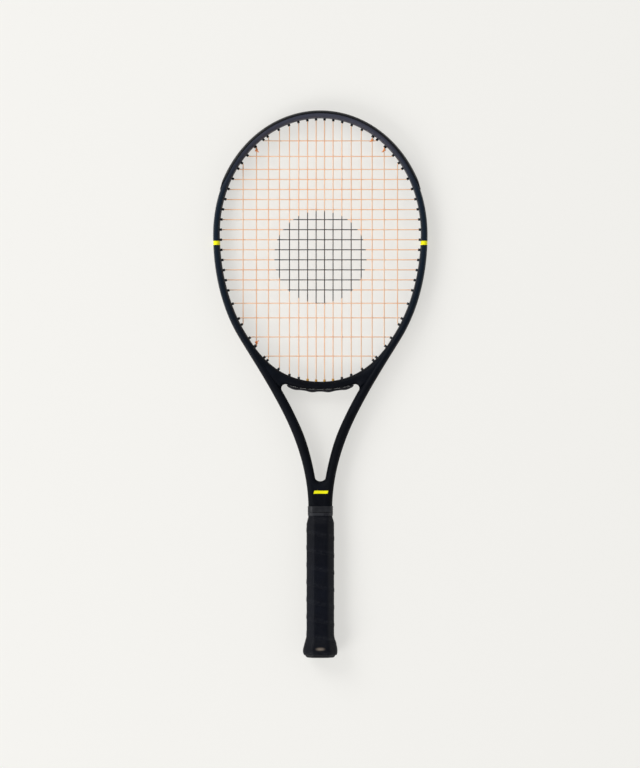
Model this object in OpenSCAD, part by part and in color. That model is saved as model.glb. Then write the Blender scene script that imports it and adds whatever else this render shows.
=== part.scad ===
// Adult tennis racket with a 16 x 19 string bed, lying on its back.
// +Y runs from the butt to the tip, +Z is the front of the string bed, and the
// origin is the centre of the butt cap's flat end.
// The frame is one bent tube: hoop, two throat arms and a twin-tube shaft, closed by a bridge.

/* [Overall] */
// Length from the butt cap's flat end to the tip of the bumper guard
racket_length = 685.8; // [670:0.1:700]

/* [Hoop] */
// Width between the hoop's inner edges at its widest line
hoop_inner_w = 252; // [244:0.5:260]
// Height from the widest line to the inner tip
crown_h = 144; // [138:0.5:150]
// Height from the widest line down to the throat, as if the hoop were an ellipse
skirt_h = 187.5; // [181:0.5:192]
// How much fuller than that ellipse the hoop is beside the bridge
shoulder_swell = 1.5; // [0:0.1:2]
// How much shallower than that ellipse the middle of the bridge is
bridge_lift = 1.3; // [0:0.1:2]
// Width of the hoop's face, seen from the front
hoop_face_w = 8.3; // [8:0.1:9.5]
// Width of the face where the hoop turns into a throat arm
shoulder_face_w = 10; // [9.4:0.1:11]
// Depth of the frame at the tip
tip_beam = 22; // [20:0.5:24]
// Depth of the frame from the widest line to the throat
side_beam = 24; // [22:0.5:26]

/* [Throat] */
// Width of a throat arm's face
arm_face_w = 12.2; // [11:0.1:13]
// Angle on the hoop's ellipse where the arm leaves it
arm_leave = -42; // [-44:1:-40]
// How far the arm runs on before it starts to bend
arm_lead = 60; // [50:1:70]
// Distance between the two arms' middle lines where the bridge joins them
throat_w = 111.5; // [108:0.1:115]
// Width of the shaft above the handle
shaft_w = 30; // [28:0.5:32]
// Depth of the shaft above the handle
shaft_beam = 21; // [19.5:0.5:22]
// Height of the bridge at its middle
bridge_h = 9.8; // [9:0.1:11]
// Height of the bridge at the corners of the throat opening
bridge_end_h = 12.8; // [11:0.1:14]
// Depth of the bridge
bridge_beam = 20; // [18:0.5:21]
// Radius of the throat opening's upper corners
corner_r = 5.1; // [4:0.1:6]
// Radius of the throat opening's lower end
crotch_r = 6.4; // [5:0.1:7]
// Height of the throat opening's lower end above the butt
crotch_y = 221; // [216:0.5:226]

/* [Grommets] */
// Depth of the groove that the grommet strips lie in
groove_depth = 2.8; // [2.6:0.1:3.2]
// Width of that groove
groove_w = 6.6; // [6.2:0.1:7]
// Thickness of a grommet strip's base
strip_t = 1.2; // [1:0.1:1.4]
// Thickness of the bumper guard over the frame
guard_t = 1.5; // [1.2:0.1:2]
// Outer diameter of a barrel
barrel_d = 3.2; // [2.8:0.1:3.4]
// Bore of a barrel
barrel_bore = 2; // [1.8:0.1:2.2]
// Outer diameter of a tie-off barrel, which holds two strings
tie_barrel_d = 4; // [3.8:0.1:4.2]
// Bore of a tie-off barrel
tie_bore = 2.8; // [2.7:0.1:2.9]
// How far a barrel stands out inside the hoop
barrel_proud = 2.6; // [2:0.1:3.2]
// Height of the throat strip's wave over the string loops
wave_h = 2.6; // [1.5:0.1:3]

/* [Strings] */
// Diameter of the strings
string_d = 1.25; // [1.15:0.01:1.35]
// Pitch of the middle main strings
main_pitch = 10.55; // [10:0.05:10.8]
// How fast the main strings' pitch widens towards the sides
main_spread = 0.042; // [0.035:0.001:0.045]
// Distance from the hoop's inner tip to the first cross string
first_cross = 28.2; // [26:0.1:30]
// Pitch of the cross strings in the dense middle zone
cross_pitch = 12.6; // [12:0.1:12.8]
// Clearance between strings where they cross
weave_gap = 0.14; // [0.1:0.01:0.2]
// How far the outer loops lie beside the frame's middle plane
loop_offset = 1.4; // [1.4:0.05:1.6]

/* [Handle] */
// Length from the butt end to the top of the rubber collar
handle_length = 189.6; // [180:0.1:200]
// Width of the bare pallet
pallet_w = 29.4; // [28:0.1:31]
// Depth of the bare pallet
pallet_d = 26.2; // [25:0.1:28]
// Width of the pallet's four bevels
pallet_bevel = 6.7; // [6:0.1:7.5]
// Width of the shaft's twin tubes inside the pallet
core_w = 23.6; // [22:0.1:24]
// Depth of the shaft's twin tubes inside the pallet
core_d = 17.6; // [16:0.1:18]
// Wall of the twin tubes inside the pallet
core_wall = 1.8; // [1.2:0.1:2.5]
// Height where the pallet starts
pallet_base_y = 10; // [9.5:0.5:12]

/* [Butt cap] */
// Width of the cap's flare
flare_w = 38; // [36:0.1:40]
// Depth of the cap's flare
flare_d = 34; // [33:0.1:36]
// Length of the cap
cap_length = 34; // [30:0.5:38]
// Thickness of the cap's skirt over the pallet
skirt_t = 1.4; // [1.2:0.1:1.8]
// Thickness of the cap's end wall
cap_floor = 2.4; // [2:0.1:3]
// Width of the trap door
door_w = 21; // [18:0.5:23]
// Height of the trap door
door_d = 16; // [14:0.5:18]
// Length of the trap door's legs behind its plate
door_leg = 7; // [4:0.5:7]

/* [Wraps] */
// Thickness of the cushioned base grip
base_grip_t = 1.75; // [1.4:0.05:2]
// Thickness of the overgrip
overgrip_t = 0.6; // [0.5:0.05:0.8]
// Height of the wraps' lower edge above the butt end
wrap_start = 3; // [2.5:0.1:4]
// Height of the rubber collar
collar_h = 8; // [7:0.5:10]
// Thickness of the rubber collar
collar_t = 0.7; // [0.6:0.05:1]
// Height of the finishing tape
tape_h = 3.6; // [3:0.1:6]
// Thickness of the finishing tape
tape_t = 0.2; // [0.15:0.05:0.3]

/* [Hidden] */
$fn = 48;

// ---- Clearances and small sizes ----
fit = 0.1;              // between pieces that seat on each other
seam = 0.02;            // between the shaft's twin tubes
string_fit = 0.25;      // between a string's outer loop and the strip under it
string_r = string_d / 2;
string_sides = 5;
n_mains = 8;            // on each side of the middle
bridge_mains = 4;       // on each side, tied off under the bridge
centre_mains = 2;       // on each side, with a grommet of their own
head_gaps = [19.5, 16.3];            // gaps between the first cross strings
dense_gaps = 12;                     // gaps of one pitch in the middle zone
throat_gaps = [16.7, 18.3, 24, 24];  // gaps between the last cross strings
n_crosses = len(head_gaps) + dense_gaps + len(throat_gaps) + 1;
guard_crosses = 5;      // cross strings whose ends pass through the bumper guard
tie_main = 7;           // main string whose holes hold the tie-offs
start_main = 6;         // main string whose top hole holds the cross string's first end

function unit(v) = v / norm(v);
function mix(a, b, k) = a + (b - a) * k;
function ease(k) = let (c = min(1, max(0, k))) c * c * (3 - 2 * c);
function turn(v) = [-v[1], v[0]];
function with_z(p, z) = [p[0], p[1], z];
function backwards(v) = [for (i = [len(v) - 1:-1:0]) v[i]];
function swap_side(path) = [for (p = path) [-p[0], p[1], p[2]]];
function sum_to(v, n) = n == 0 ? 0 : v[n - 1] + sum_to(v, n - 1);

// ---- The hoop's inner edge: two half ellipses that share their widest line ----
half_w = hoop_inner_w / 2;
tip_y = racket_length - guard_t - fit - hoop_face_w;
wide_y = tip_y - crown_h;

// The angle is 90 at the tip, 0 at the widest line and -90 at the throat
function hoop_b(t) = t > 0 ? crown_h : skirt_h;
function hoop_swell(t) = (shoulder_swell + bridge_lift) * ease((-t - 60) / 30)
                       - shoulder_swell * ease((t - arm_leave) / (-60 - arm_leave));
function hoop_pt(t) = [half_w * cos(t), wide_y + hoop_b(t) * sin(t) + hoop_swell(t)];
function hoop_out(t) = unit([cos(t) / half_w, sin(t) / hoop_b(t)]);

// ---- The tube's middle line, seen from the front ----
// q is 0 at the tip, 1 where the arm leaves the hoop, 2 where the shaft starts to narrow and 3 at the
// tube's end. A negative q is the same place on the left.
widen_q = 0.6;
arm_mid = 0.5;
slim_q = 1.6;           // from here down an arm draws in on its inner side
fork_slim = 2.5;        // how much it has drawn in at the fork
merge_q = 1.87;         // from here down the twin tubes press flat against each other
merge_w = 4;            // how much of each tube is pressed away in the shaft
neck_h = 17.5;          // height over which the shaft narrows inside the handle
collar_grip = 4.6;      // height of full-width shaft inside the collar
unit_q = 290;           // length of tube between q = 0 and q = 1, about
tube_end_y = pallet_base_y + 4;
shaft_top_y = handle_length - collar_grip;
neck_q = 2 + neck_h / (shaft_top_y - tube_end_y);

function neck_k(q) = ease((q - 2) / (neck_q - 2));
function face_w(q) =
    q <= 1 ? mix(hoop_face_w, shoulder_face_w, ease((q - widen_q) / (1 - widen_q)))
  : q <= 1 + arm_mid ? mix(shoulder_face_w, arm_face_w, ease((q - 1) / arm_mid))
  : q <= 2 ? mix(arm_face_w, shaft_w / 2, ease((q - 1 - arm_mid) / (1 - arm_mid)))
  : mix(shaft_w / 2, core_w / 2, neck_k(q));
function beam(q) =
    q <= 1 ? mix(tip_beam, side_beam, ease(q / 0.7))
  : q <= 2 ? mix(side_beam, shaft_beam, ease(q - 1.1))
  : mix(shaft_beam, core_d, neck_k(q));

arm_start = hoop_pt(arm_leave) + hoop_out(arm_leave) * shoulder_face_w / 2;
arm_along = -turn(hoop_out(arm_leave));
arm_end = [shaft_w / 4, shaft_top_y];
function arm_curve(settle) = [arm_start, arm_start + arm_along * arm_lead, arm_end + [0, settle], arm_end];

// How far above the shaft the arm starts to straighten, so that it passes the bridge at the throat's width
function arm_place(k, y, a, b, n) = let (m = (a + b) / 2) n == 0 ? m
    : bezier(k, m)[1] > y ? arm_place(k, y, m, b, n - 1) : arm_place(k, y, a, m, n - 1);
function arm_x(settle) = let (k = arm_curve(settle)) bezier(k, arm_place(k, hoop_pt(-90)[1] - bridge_h, 0, 1, 20))[0];
function find_settle(a, b, n) = let (m = (a + b) / 2) n == 0 ? m
    : arm_x(m) > throat_w / 2 ? find_settle(m, b, n - 1) : find_settle(a, m, n - 1);
arm_settle = find_settle(5, 150, 20);
arm_knots = arm_curve(arm_settle);

function bezier(k, s) = k[0] * pow(1 - s, 3) + 3 * k[1] * s * pow(1 - s, 2)
                      + 3 * k[2] * s * s * (1 - s) + k[3] * pow(s, 3);
function bezier_along(k, s) = unit((k[1] - k[0]) * pow(1 - s, 2) + 2 * (k[2] - k[1]) * s * (1 - s)
                      + (k[3] - k[2]) * s * s);
function hoop_t(q) = mix(90, arm_leave, q);
function middle(q) =
    q <= 1 ? hoop_pt(hoop_t(q)) + hoop_out(hoop_t(q)) * face_w(q) / 2
  : q <= 2 ? bezier(arm_knots, q - 1)
  : [face_w(q) / 2, mix(shaft_top_y, tube_end_y, q - 2)];
function outward(q) =
    q <= 1 ? hoop_out(hoop_t(q))
  : q <= 2 ? turn(bezier_along(arm_knots, q - 1))
  : [1, 0];

// How far a tube's inner edge lies past its nominal face
function inner_extra(a) = (merge_w + fork_slim) * ease((a - merge_q) / (2 - merge_q))
                        - fork_slim * ease((a - slim_q) / (merge_q - slim_q));

// A point at depth e under the tube's outer edge
function rim(q, e) = let (a = abs(q), p = middle(a) + outward(a) * (face_w(a) / 2 - e))
    [q < 0 ? -p[0] : p[0], p[1]];

// ---- String plan ----
reach = barrel_proud + 0.4;  // from the hoop's inner edge to where a string bends into its barrel
weave_h = string_r + weave_gap / 2;
string_e = groove_depth - fit - strip_t - string_fit - string_r;  // depth of a loop's middle line
twin_off = string_r + 0.04;  // half the distance between two strings in one hole
loop_lead = 2.6;             // length in which a loop moves sideways

cross_gaps = concat(head_gaps, [for (i = [1:dense_gaps]) cross_pitch], throat_gaps);
function main_x(i) = main_pitch * (i - 0.5) + main_spread * pow(i - 0.5, 3);
function cross_y(j) = tip_y - first_cross - sum_to(cross_gaps, j - 1);

// The angle on the hoop whose barrel tip lies on the string's own line
function settle_main(x, s, t, n) = n == 0 ? t
    : settle_main(x, s, s * acos(min(1, (x + reach * hoop_out(t)[0]) / half_w)), n - 1);
function settle_cross(y, t, n) = n == 0 ? t
    : settle_cross(y, asin((y - wide_y - hoop_swell(t) + reach * hoop_out(t)[1]) / hoop_b(y - wide_y)), n - 1);
top_t = [for (i = [1:n_mains]) settle_main(main_x(i), 1, acos(main_x(i) / half_w), 8)];
low_t = [for (i = [1:n_mains]) settle_main(main_x(i), -1, -acos(main_x(i) / half_w), 8)];
side_t = [for (j = [1:n_crosses]) settle_cross(cross_y(j), 0, 8)];

// True where a main and a cross string cross each other inside the hoop
function meets(i, j) = let (b = hoop_b(cross_y(j) - wide_y))
    pow(main_x(i) / (half_w - reach), 2) + pow((cross_y(j) - wide_y) / (b - reach), 2) < 1;
// Height of the main string where it crosses a cross string: over and under by turns
function weave(i, side, j) = ((side > 0 ? i + 1 : i) + j) % 2 == 0 ? weave_h : -weave_h;

// Where the line of a hole meets the tube's rim at depth e, as a value of q
function hole_side(t, e, q) = let (v = rim(q, e) - hoop_pt(t), d = hoop_out(t)) d[0] * v[1] - d[1] * v[0];
function halve(t, e, a, b, n) = let (m = (a + b) / 2) n == 0 ? m
    : hole_side(t, e, m) > 0 ? halve(t, e, m, b, n - 1) : halve(t, e, a, m, n - 1);
function hole_q(t, e) = t >= arm_leave ? (90 - t) / (90 - arm_leave) : halve(t, e, 1, 1.6, 20);
function hole_depth(t, e) = norm(rim(hole_q(t, e), e) - hoop_pt(t));

guard_q = hole_q(side_t[guard_crosses - 1], 0) + 0.012;
strip_q = guard_q + 0.006;
groove_q = hole_q(low_t[bridge_mains], 0) + 0.035;
strip_end_q = groove_q - 0.012;

// ---- Bridge: the hoop's inner edge on top, the throat opening below ----
corner_x = 46;          // where the bridge reaches its end height
function bridge_top(x) = hoop_pt(-acos(abs(x) / half_w))[1];
function bridge_low(x) = bridge_top(x) - mix(bridge_h, bridge_end_h, pow(x / corner_x, 2));
function bridge_slope(x) = bridge_low(x + 0.5) - bridge_low(x - 0.5);
function corner_at(q) = rim(q, face_w(q) + corner_r);
function corner_over(q) = let (p = corner_at(q))
    p[1] - bridge_low(p[0]) + corner_r * sqrt(1 + pow(bridge_slope(p[0]), 2));
function find_corner(a, b, n) = let (m = (a + b) / 2) n == 0 ? m
    : corner_over(m) > 0 ? find_corner(m, b, n - 1) : find_corner(a, m, n - 1);
corner_q = find_corner(1.05, 1.6, 20);
corner_c = corner_at(corner_q);

// ---- Skins ----
section_angles = [for (a = [30:30:330]) a];
hoop_power = 2.6;       // 2 is an ellipse, more is squarer
bridge_power = 3;

function squared(v, n) = sign(v) * pow(abs(v), 2 / n);
function edge_u(z, d, n) = pow(max(0, 1 - pow(abs(2 * z / d), n)), 1 / n);
// A squared ellipse, with a groove at its outer end where k is 1
function section(w, d, n, k) = let (g = groove_w / 2, b = g * 0.98)
    concat(
        [[w / 2 * edge_u(g, d, n), g]],
        [for (a = section_angles) [w / 2 * squared(cos(a), n), d / 2 * squared(sin(a), n)]],
        [[w / 2 * edge_u(g, d, n), -g]],
        [for (s = [-1, 1]) let (u = mix(g * 0.5, b, k))
            [mix(w / 2 * edge_u(u, d, n), w / 2 - groove_depth, k), s * u]]);
function section_ring(p_in, p_out, d, n, k) =
    let (m = (p_in + p_out) / 2, dir = unit(p_out - p_in))
    [for (s = section(norm(p_out - p_in), d, n, k)) with_z(m + dir * s[0], s[1])];

function sides(base, n) = [for (j = [0:n - 1]) each let (
    a = base + j, b = base + (j + 1) % n, c = b + n, d = a + n) [[a, d, c], [a, c, b]]];

// Skins a list of rings and closes both ends with flat convex caps
module skin(rings) {
    n = len(rings[0]);
    last = (len(rings) - 1) * n;
    polyhedron(
        points = [for (r = rings) each r],
        faces = concat(
            [[for (j = [0:n - 1]) j]],
            [for (i = [0:len(rings) - 2]) each sides(i * n, n)],
            [[for (j = [n - 1:-1:0]) last + j]]),
        convexity = 12);
}

// Skins rings that are ribbons: the first half of the points is one face and the second half is
// the other face read backwards, so each end cap is a row of quads
module skin_ribbon(rings) {
    n = len(rings[0]);
    last = (len(rings) - 1) * n;
    function cap(base, far) = [for (j = [0:n / 2 - 2]) each let (
        a = base + j, b = base + j + 1, c = base + n - 2 - j, d = base + n - 1 - j)
        far ? [[a, c, b], [a, d, c]] : [[a, b, c], [a, c, d]]];
    polyhedron(
        points = [for (r = rings) each r],
        faces = concat(
            cap(0, false),
            [for (i = [0:len(rings) - 2]) each sides(i * n, n)],
            cap(last, true)),
        convexity = 12);
}

// Carries a small polygon along a path, with mitred corners; z stays upright
module cord(path) {
    last = len(path) - 1;
    function flat(v) = [v[0], v[1]];
    function leg(i) = unit(flat(path[i + 1]) - flat(path[i]));
    function ring(i) = let (
        a = leg(max(0, i - 1)), b = leg(min(last - 1, i)), m = unit(a + b),
        side = turn(m) / max(0.6, m * a))
        [for (k = [0:string_sides - 1]) let (t = 90 + k * 360 / string_sides)
            path[i] + string_r * with_z(side * cos(t), sin(t))];
    skin([for (i = [0:last]) ring(i)]);
}

// Cylinder from one plan point to another
module rod(from, to, d) {
    v = to - from;
    translate(with_z(from, 0)) rotate([0, 90, atan2(v[1], v[0])]) cylinder(d = d, h = norm(v));
}

// ---- Frame ----
hoop_steps = 30;
groove_steps = 6;
arm_steps = 12;
neck_steps = 4;
tube_half = concat(
    [for (i = [0:hoop_steps]) i / hoop_steps],
    [for (i = [1:groove_steps]) mix(1, groove_q, i / groove_steps)],
    [for (i = [0:arm_steps]) mix(groove_q + 0.012, 2, i / arm_steps)],
    [for (i = [1:neck_steps]) mix(2, neck_q, i / neck_steps)],
    [3]);
tube_q = concat([for (i = [len(tube_half) - 1:-1:1]) -tube_half[i]], tube_half);

function tube_ring(q) = let (
    a = abs(q),
    ring = section_ring(rim(q, face_w(a) + inner_extra(a)), rim(q, 0), beam(a), hoop_power, a <= groove_q ? 1 : 0))
    [for (p = ring) [q < 0 ? min(-seam / 2, p[0]) : a > 1 ? max(seam / 2, p[0]) : p[0], p[1], p[2]]];

bridge_steps = 6;
corner_steps = 5;
root_steps = 4;
bridge_exit = 12;       // the corner's arc ends this many degrees before it is tangent to the arm
corner_from = 90 + atan(bridge_slope(corner_c[0]));
corner_to = atan2(outward(corner_q)[1], outward(corner_q)[0]) + bridge_exit;
corner_start_x = corner_c[0] + corner_r * cos(corner_from);
corner_end_x = corner_start_x + 18;
root_end_x = hoop_pt(arm_leave)[0] - 2;

function bridge_pt(x) = [x, bridge_top(x)];
function corner_pt(a) = corner_c + corner_r * [cos(a), sin(a)];
function bridge_half() = concat(
    [for (i = [0:bridge_steps]) let (x = corner_start_x * i / bridge_steps)
        section_ring([x, bridge_low(x)], bridge_pt(x), bridge_beam, bridge_power, 0)],
    [for (i = [1:corner_steps]) let (k = i / corner_steps)
        section_ring(corner_pt(mix(corner_from, corner_to, k)), bridge_pt(mix(corner_start_x, corner_end_x, k)),
            bridge_beam + k, bridge_power, 0)],
    [for (i = [1:root_steps]) let (k = i / root_steps, q = mix(corner_q - 0.03, 1.04, k))
        section_ring(rim(q, face_w(q) * 0.45), bridge_pt(mix(corner_end_x, root_end_x, k)) + [k, -k] * 0.3,
            bridge_beam + 1 + k, bridge_power, 0)]);
bridge_rings = let (h = bridge_half())
    concat([for (i = [len(h) - 1:-1:1]) swap_side(h[i])], h);

web_depth = shaft_beam - 2;
web_end_y = handle_length - collar_h + 2;

// Fills the fork under the throat opening, down to the collar
module crotch() {
    fork_y = crotch_y + crotch_r;
    linear_extrude(web_depth, center = true) difference() {
        polygon([[-crotch_r - 5, fork_y], [crotch_r + 5, fork_y], [crotch_r, web_end_y], [-crotch_r, web_end_y]]);
        translate([0, fork_y]) circle(crotch_r);
    }
}

module string_holes() {
    for (side = [1, -1]) {
        for (i = [1:n_mains]) {
            hole(top_t[i - 1], side, i == tie_main || (i == start_main && side > 0));
            if (i > bridge_mains) hole(low_t[i - 1], side, i == tie_main && side < 0);
            else rod([side * main_x(i), bridge_low(main_x(i)) - 2], [side * main_x(i), bridge_top(main_x(i)) + 2],
                barrel_d + 2 * fit);
        }
        for (t = side_t) hole(t, side, false);
    }
}

// The hole for one barrel, square to the hoop's inner edge
module hole(t, side, is_tie) {
    mirror([side < 0 ? 1 : 0, 0, 0])
        rod(hoop_pt(t) - hoop_out(t), hoop_pt(t) + hoop_out(t) * (hole_depth(t, groove_depth) + 1),
            (is_tie ? tie_barrel_d : barrel_d) + 2 * fit);
}

// The hollow at the open lower end of each tube
module tube_pocket(side) {
    translate([side * core_w / 4, tube_end_y + 60, 0]) rotate([90, 0, 0]) linear_extrude(61)
        polygon([for (a = [0:30:330]) [(core_w / 4 - core_wall) * squared(cos(a), hoop_power),
                                       (core_d / 2 - core_wall) * squared(sin(a), hoop_power)]]);
}

module frame() {
    color("#171b26") difference() {
        union() {
            skin([for (q = tube_q) tube_ring(q)]);
            skin(bridge_rings);
            crotch();
        }
        string_holes();
        for (side = [1, -1]) tube_pocket(side);
    }
}

// ---- Grommets ----
strip_half = groove_w / 2 * 0.98 - fit;
strip_top_e = groove_depth - fit - strip_t;   // depth of a strip's outer face
guard_channel = loop_offset + string_r + fit; // half the width of the guard's string channel

// One barrel, from inside the hoop to within the base that carries it
module barrel(t, side, d, base_e) {
    mirror([side < 0 ? 1 : 0, 0, 0])
        rod(hoop_pt(t) - hoop_out(t) * barrel_proud, hoop_pt(t) + hoop_out(t) * (hole_depth(t, base_e) - 0.4), d);
}

module barrel_way(t, side, d) {
    mirror([side < 0 ? 1 : 0, 0, 0])
        rod(hoop_pt(t) - hoop_out(t) * (barrel_proud + 1), hoop_pt(t) + hoop_out(t) * (hole_depth(t, 0) + 1), d);
}

// Barrels through a base: plain ones at the angles given, and tie-off ones
module grommets(base_e, plain, ties) {
    difference() {
        union() {
            children();
            for (h = plain) barrel(h[0], h[1], barrel_d, base_e);
            for (h = ties) barrel(h[0], h[1], tie_barrel_d, base_e);
        }
        for (h = plain) barrel_way(h[0], h[1], barrel_bore);
        for (h = ties) barrel_way(h[0], h[1], tie_bore);
    }
}

// Section of the guard: flanges over the frame's corners, and a string channel down in the groove
function guard_ring(q) = let (
    a = abs(q), w = face_w(a), d = beam(a), n = hoop_power, g = guard_t + fit,
    lip = groove_w / 2 - fit, dir = q < 0 ? [-outward(a)[0], outward(a)[1]] : outward(a), m = rim(q, w / 2),
    outer = concat([for (v = [section_angles[1], section_angles[0]])
            [(w / 2 + g) * squared(cos(v), n), (d / 2 + g) * squared(sin(v), n)]],
        [[(w / 2 + g) * edge_u(guard_channel, d + 2 * g, n), guard_channel], [w / 2 - strip_top_e, guard_channel - 0.1]]),
    inner = concat([for (v = [section_angles[1], section_angles[0]])
            [(w / 2 + fit) * squared(cos(v), n), (d / 2 + fit) * squared(sin(v), n)]],
        [[w / 2 * edge_u(lip, d, n) + fit, lip], [w / 2 - groove_depth + fit, lip * 0.98]]),
    down = function (v) [for (p = backwards(v)) [p[0], -p[1]]])
    [for (s = concat(inner, down(inner), backwards(concat(outer, down(outer))))) with_z(m + dir * s[0], s[1])];

function strip_ring(q) = [for (c = [[groove_depth - fit, 1], [groove_depth - fit, -1], [strip_top_e, -1], [strip_top_e, 1]])
    with_z(rim(q, c[0]), c[1] * strip_half)];
function stations(from, to) = concat([from], [for (q = tube_half) if (q > from + 0.004 && q < to - 0.004) q], [to]);

module bumper_guard() {
    right = stations(0, guard_q);
    color("#14161d") grommets(strip_top_e,
        concat([for (i = [1:n_mains], s = [1, -1]) if (i != tie_main && (i != start_main || s < 0)) [top_t[i - 1], s]],
               [for (j = [1:guard_crosses], s = [1, -1]) [side_t[j - 1], s]]),
        [[top_t[tie_main - 1], 1], [top_t[tie_main - 1], -1], [top_t[start_main - 1], 1]])
        skin_ribbon([for (q = concat([for (q = backwards(right)) if (q > 0) -q], right)) guard_ring(q)]);
}

module grommet_strip(side) {
    way = stations(strip_q, strip_end_q);
    low_tie = side < 0 ? tie_main : 0;
    color("#14161d") grommets(strip_top_e,
        concat([for (j = [guard_crosses + 1:n_crosses]) [side_t[j - 1], side]],
               [for (i = [bridge_mains + 1:n_mains]) if (i != low_tie) [low_t[i - 1], side]]),
        [for (i = [low_tie:low_tie]) if (i > 0) [low_t[i - 1], side]])
        skin_ribbon([for (q = side > 0 ? way : [for (v = backwards(way)) -v]) strip_ring(q)]);
}
module grommet_strip_left() { grommet_strip(-1); }
module grommet_strip_right() { grommet_strip(1); }

// ---- Throat strip: a channel under the bridge whose rails rise over the string loops ----
throat_end_x = corner_start_x - 2 * fit;
rail_t = 1.2;
rail_low = 1.5;         // height of a rail between the loops
throat_half = loop_offset + string_r + rail_t;
flange_t = 0.6;
flange_d = barrel_d + 1.2;
function throat_top(x) = bridge_low(x) - fit;
function throat_wave(x) = let (p = abs(x), c = [for (i = [1:2:bridge_mains]) (main_x(i) + main_x(i + 1)) / 2],
    near = min([for (v = c) abs(p - v)]), half = main_pitch * 0.9)
    mix(rail_low, wave_h, 0.5 + 0.5 * cos(180 * min(1, near / half)));
function throat_ring(x) = let (y = throat_top(x), z1 = throat_half, z2 = throat_half - rail_t,
    floor_y = y - strip_t, rail_y = floor_y - throat_wave(x) * ease((throat_end_x - abs(x)) / 3 + 0.3))
    [[x, y, z1], [x, y, z2], [x, y, -z2], [x, y, -z1],
     [x, rail_y, -z1], [x, rail_y, -z2], [x, floor_y, -z2 + 0.05], [x, floor_y, z2 - 0.05],
     [x, rail_y, z2], [x, rail_y, z1]];

module upright(i, side, from, to, d) { rod([side * main_x(i), from], [side * main_x(i), to], d); }

module throat_grommet_strip() {
    steps = 12;
    color("#14161d") difference() {
        union() {
            skin_channel([for (k = [steps:-1:-steps]) throat_ring(throat_end_x * k / steps)]);
            for (i = [centre_mains + 1:bridge_mains], s = [1, -1])
                upright(i, s, throat_top(main_x(i)) - strip_t + 0.4, bridge_top(main_x(i)) + barrel_proud, barrel_d);
        }
        for (i = [1:bridge_mains], s = [1, -1]) let (y = throat_top(main_x(i)) - strip_t) {
            upright(i, s, y - 2, bridge_top(main_x(i)) + barrel_proud + 1,
                i > centre_mains ? barrel_bore : barrel_d + 2 * fit);
            if (i <= centre_mains) upright(i, s, y - 0.5, y + flange_t + fit, flange_d + 2 * fit);
        }
    }
}

// A skin whose end caps are the channel's web and two rails, which is not a convex outline
module skin_channel(rings) {
    n = len(rings[0]);
    last = (len(rings) - 1) * n;
    web = [[0, 1, 8, 9], [1, 2, 7, 8], [2, 3, 5, 6], [3, 4, 5], [2, 6, 7]];
    polyhedron(
        points = [for (r = rings) each r],
        faces = concat(
            [for (f = web) f],
            [for (i = [0:len(rings) - 2]) each sides(i * n, n)],
            [for (f = web) [for (j = backwards(f)) last + j]]),
        convexity = 12);
}

module centre_grommets() {
    color("#e5b141") for (i = [1:centre_mains], s = [1, -1]) let (y = throat_top(main_x(i)) - strip_t)
        difference() {
            union() {
                upright(i, s, y, bridge_top(main_x(i)) + barrel_proud, barrel_d);
                upright(i, s, y, y + flange_t, flange_d);
            }
            upright(i, s, y - 1, bridge_top(main_x(i)) + barrel_proud + 1, barrel_bore);
        }
}

// ---- Strings ----
// The two points of a string in a hole: outside in the groove, and at the barrel's inner tip
function hole_path(t, off, z) = [
    with_z(rim(hole_q(t, string_e), string_e) + turn(hoop_out(t)) * off, z),
    with_z(hoop_pt(t) - hoop_out(t) * reach + turn(hoop_out(t)) * off, z)];
function bridge_path(i) = let (x = main_x(i)) [
    [x, throat_top(x) - strip_t - string_fit - string_r, 0], [x, bridge_top(x) + reach, 0]];
// The way round the outside from one hole to the next, at height z
function loop_path(t1, t2, z) = let (q1 = hole_q(t1, string_e), q2 = hole_q(t2, string_e),
    s = sign(q2 - q1), a = q1 + s * loop_lead / unit_q, b = q2 - s * loop_lead / unit_q,
    n = max(1, ceil(abs(b - a) * unit_q / 8)))
    [for (k = [0:n]) with_z(rim(mix(a, b, k / n), string_e), z)];

// One main string of the right or left side from its top hole to its bottom hole, drawn on the right
function main_pass(i, side) = concat(
    i == start_main && side > 0 ? hole_path(top_t[i - 1], 0, twin_off)
        : hole_path(top_t[i - 1], i == tie_main ? twin_off : 0, 0),
    [for (j = [1:n_crosses]) if (meets(i, j)) [main_x(i), cross_y(j), weave(i, side, j)]],
    backwards(i <= bridge_mains ? bridge_path(i)
        : hole_path(low_t[i - 1], i == tie_main && side < 0 ? twin_off : 0, 0)));
function low_loop(i) = i < bridge_mains
    ? [let (x = (main_x(i) + main_x(i + 1)) / 2) [x, throat_top(x) - strip_t - string_fit - string_r, 0]]
    : loop_path(low_t[i - 1], low_t[i], i == tie_main ? loop_offset : 0);
function top_loop(i) = loop_path(top_t[i - 1], top_t[i], i == start_main ? loop_offset : 0);

// From the tip's middle down the first main string, and on to the tie-off beside the outermost one
function main_half(side) = concat(
    [with_z(rim(0, string_e), 0)],
    [for (i = [1:n_mains]) each i % 2 == 1
        ? concat(main_pass(i, side), low_loop(i))
        : concat(backwards(main_pass(i, side)), i < n_mains ? top_loop(i) : [])],
    loop_path(top_t[n_mains - 1], top_t[tie_main - 1], loop_offset),
    hole_path(top_t[tie_main - 1], -twin_off, 0));

module main_string() {
    left = swap_side(main_half(-1));
    color("#e8a56e") cord(concat(backwards(left), [for (i = [1:len(main_half(1)) - 1]) main_half(1)[i]]));
}

// One cross string from its right hole to its left hole
function cross_pass(j) = concat(
    hole_path(side_t[j - 1], 0, 0),
    [for (i = [n_mains:-1:1]) if (meets(i, j)) [main_x(i), cross_y(j), -weave(i, 1, j)]],
    [for (i = [1:n_mains]) if (meets(i, j)) [-main_x(i), cross_y(j), -weave(i, -1, j)]],
    backwards(swap_side(hole_path(side_t[j - 1], 0, 0))));
function cross_loop(j) = let (way = loop_path(side_t[j - 1], side_t[j], -loop_offset)) j % 2 == 1 ? swap_side(way) : way;

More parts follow.
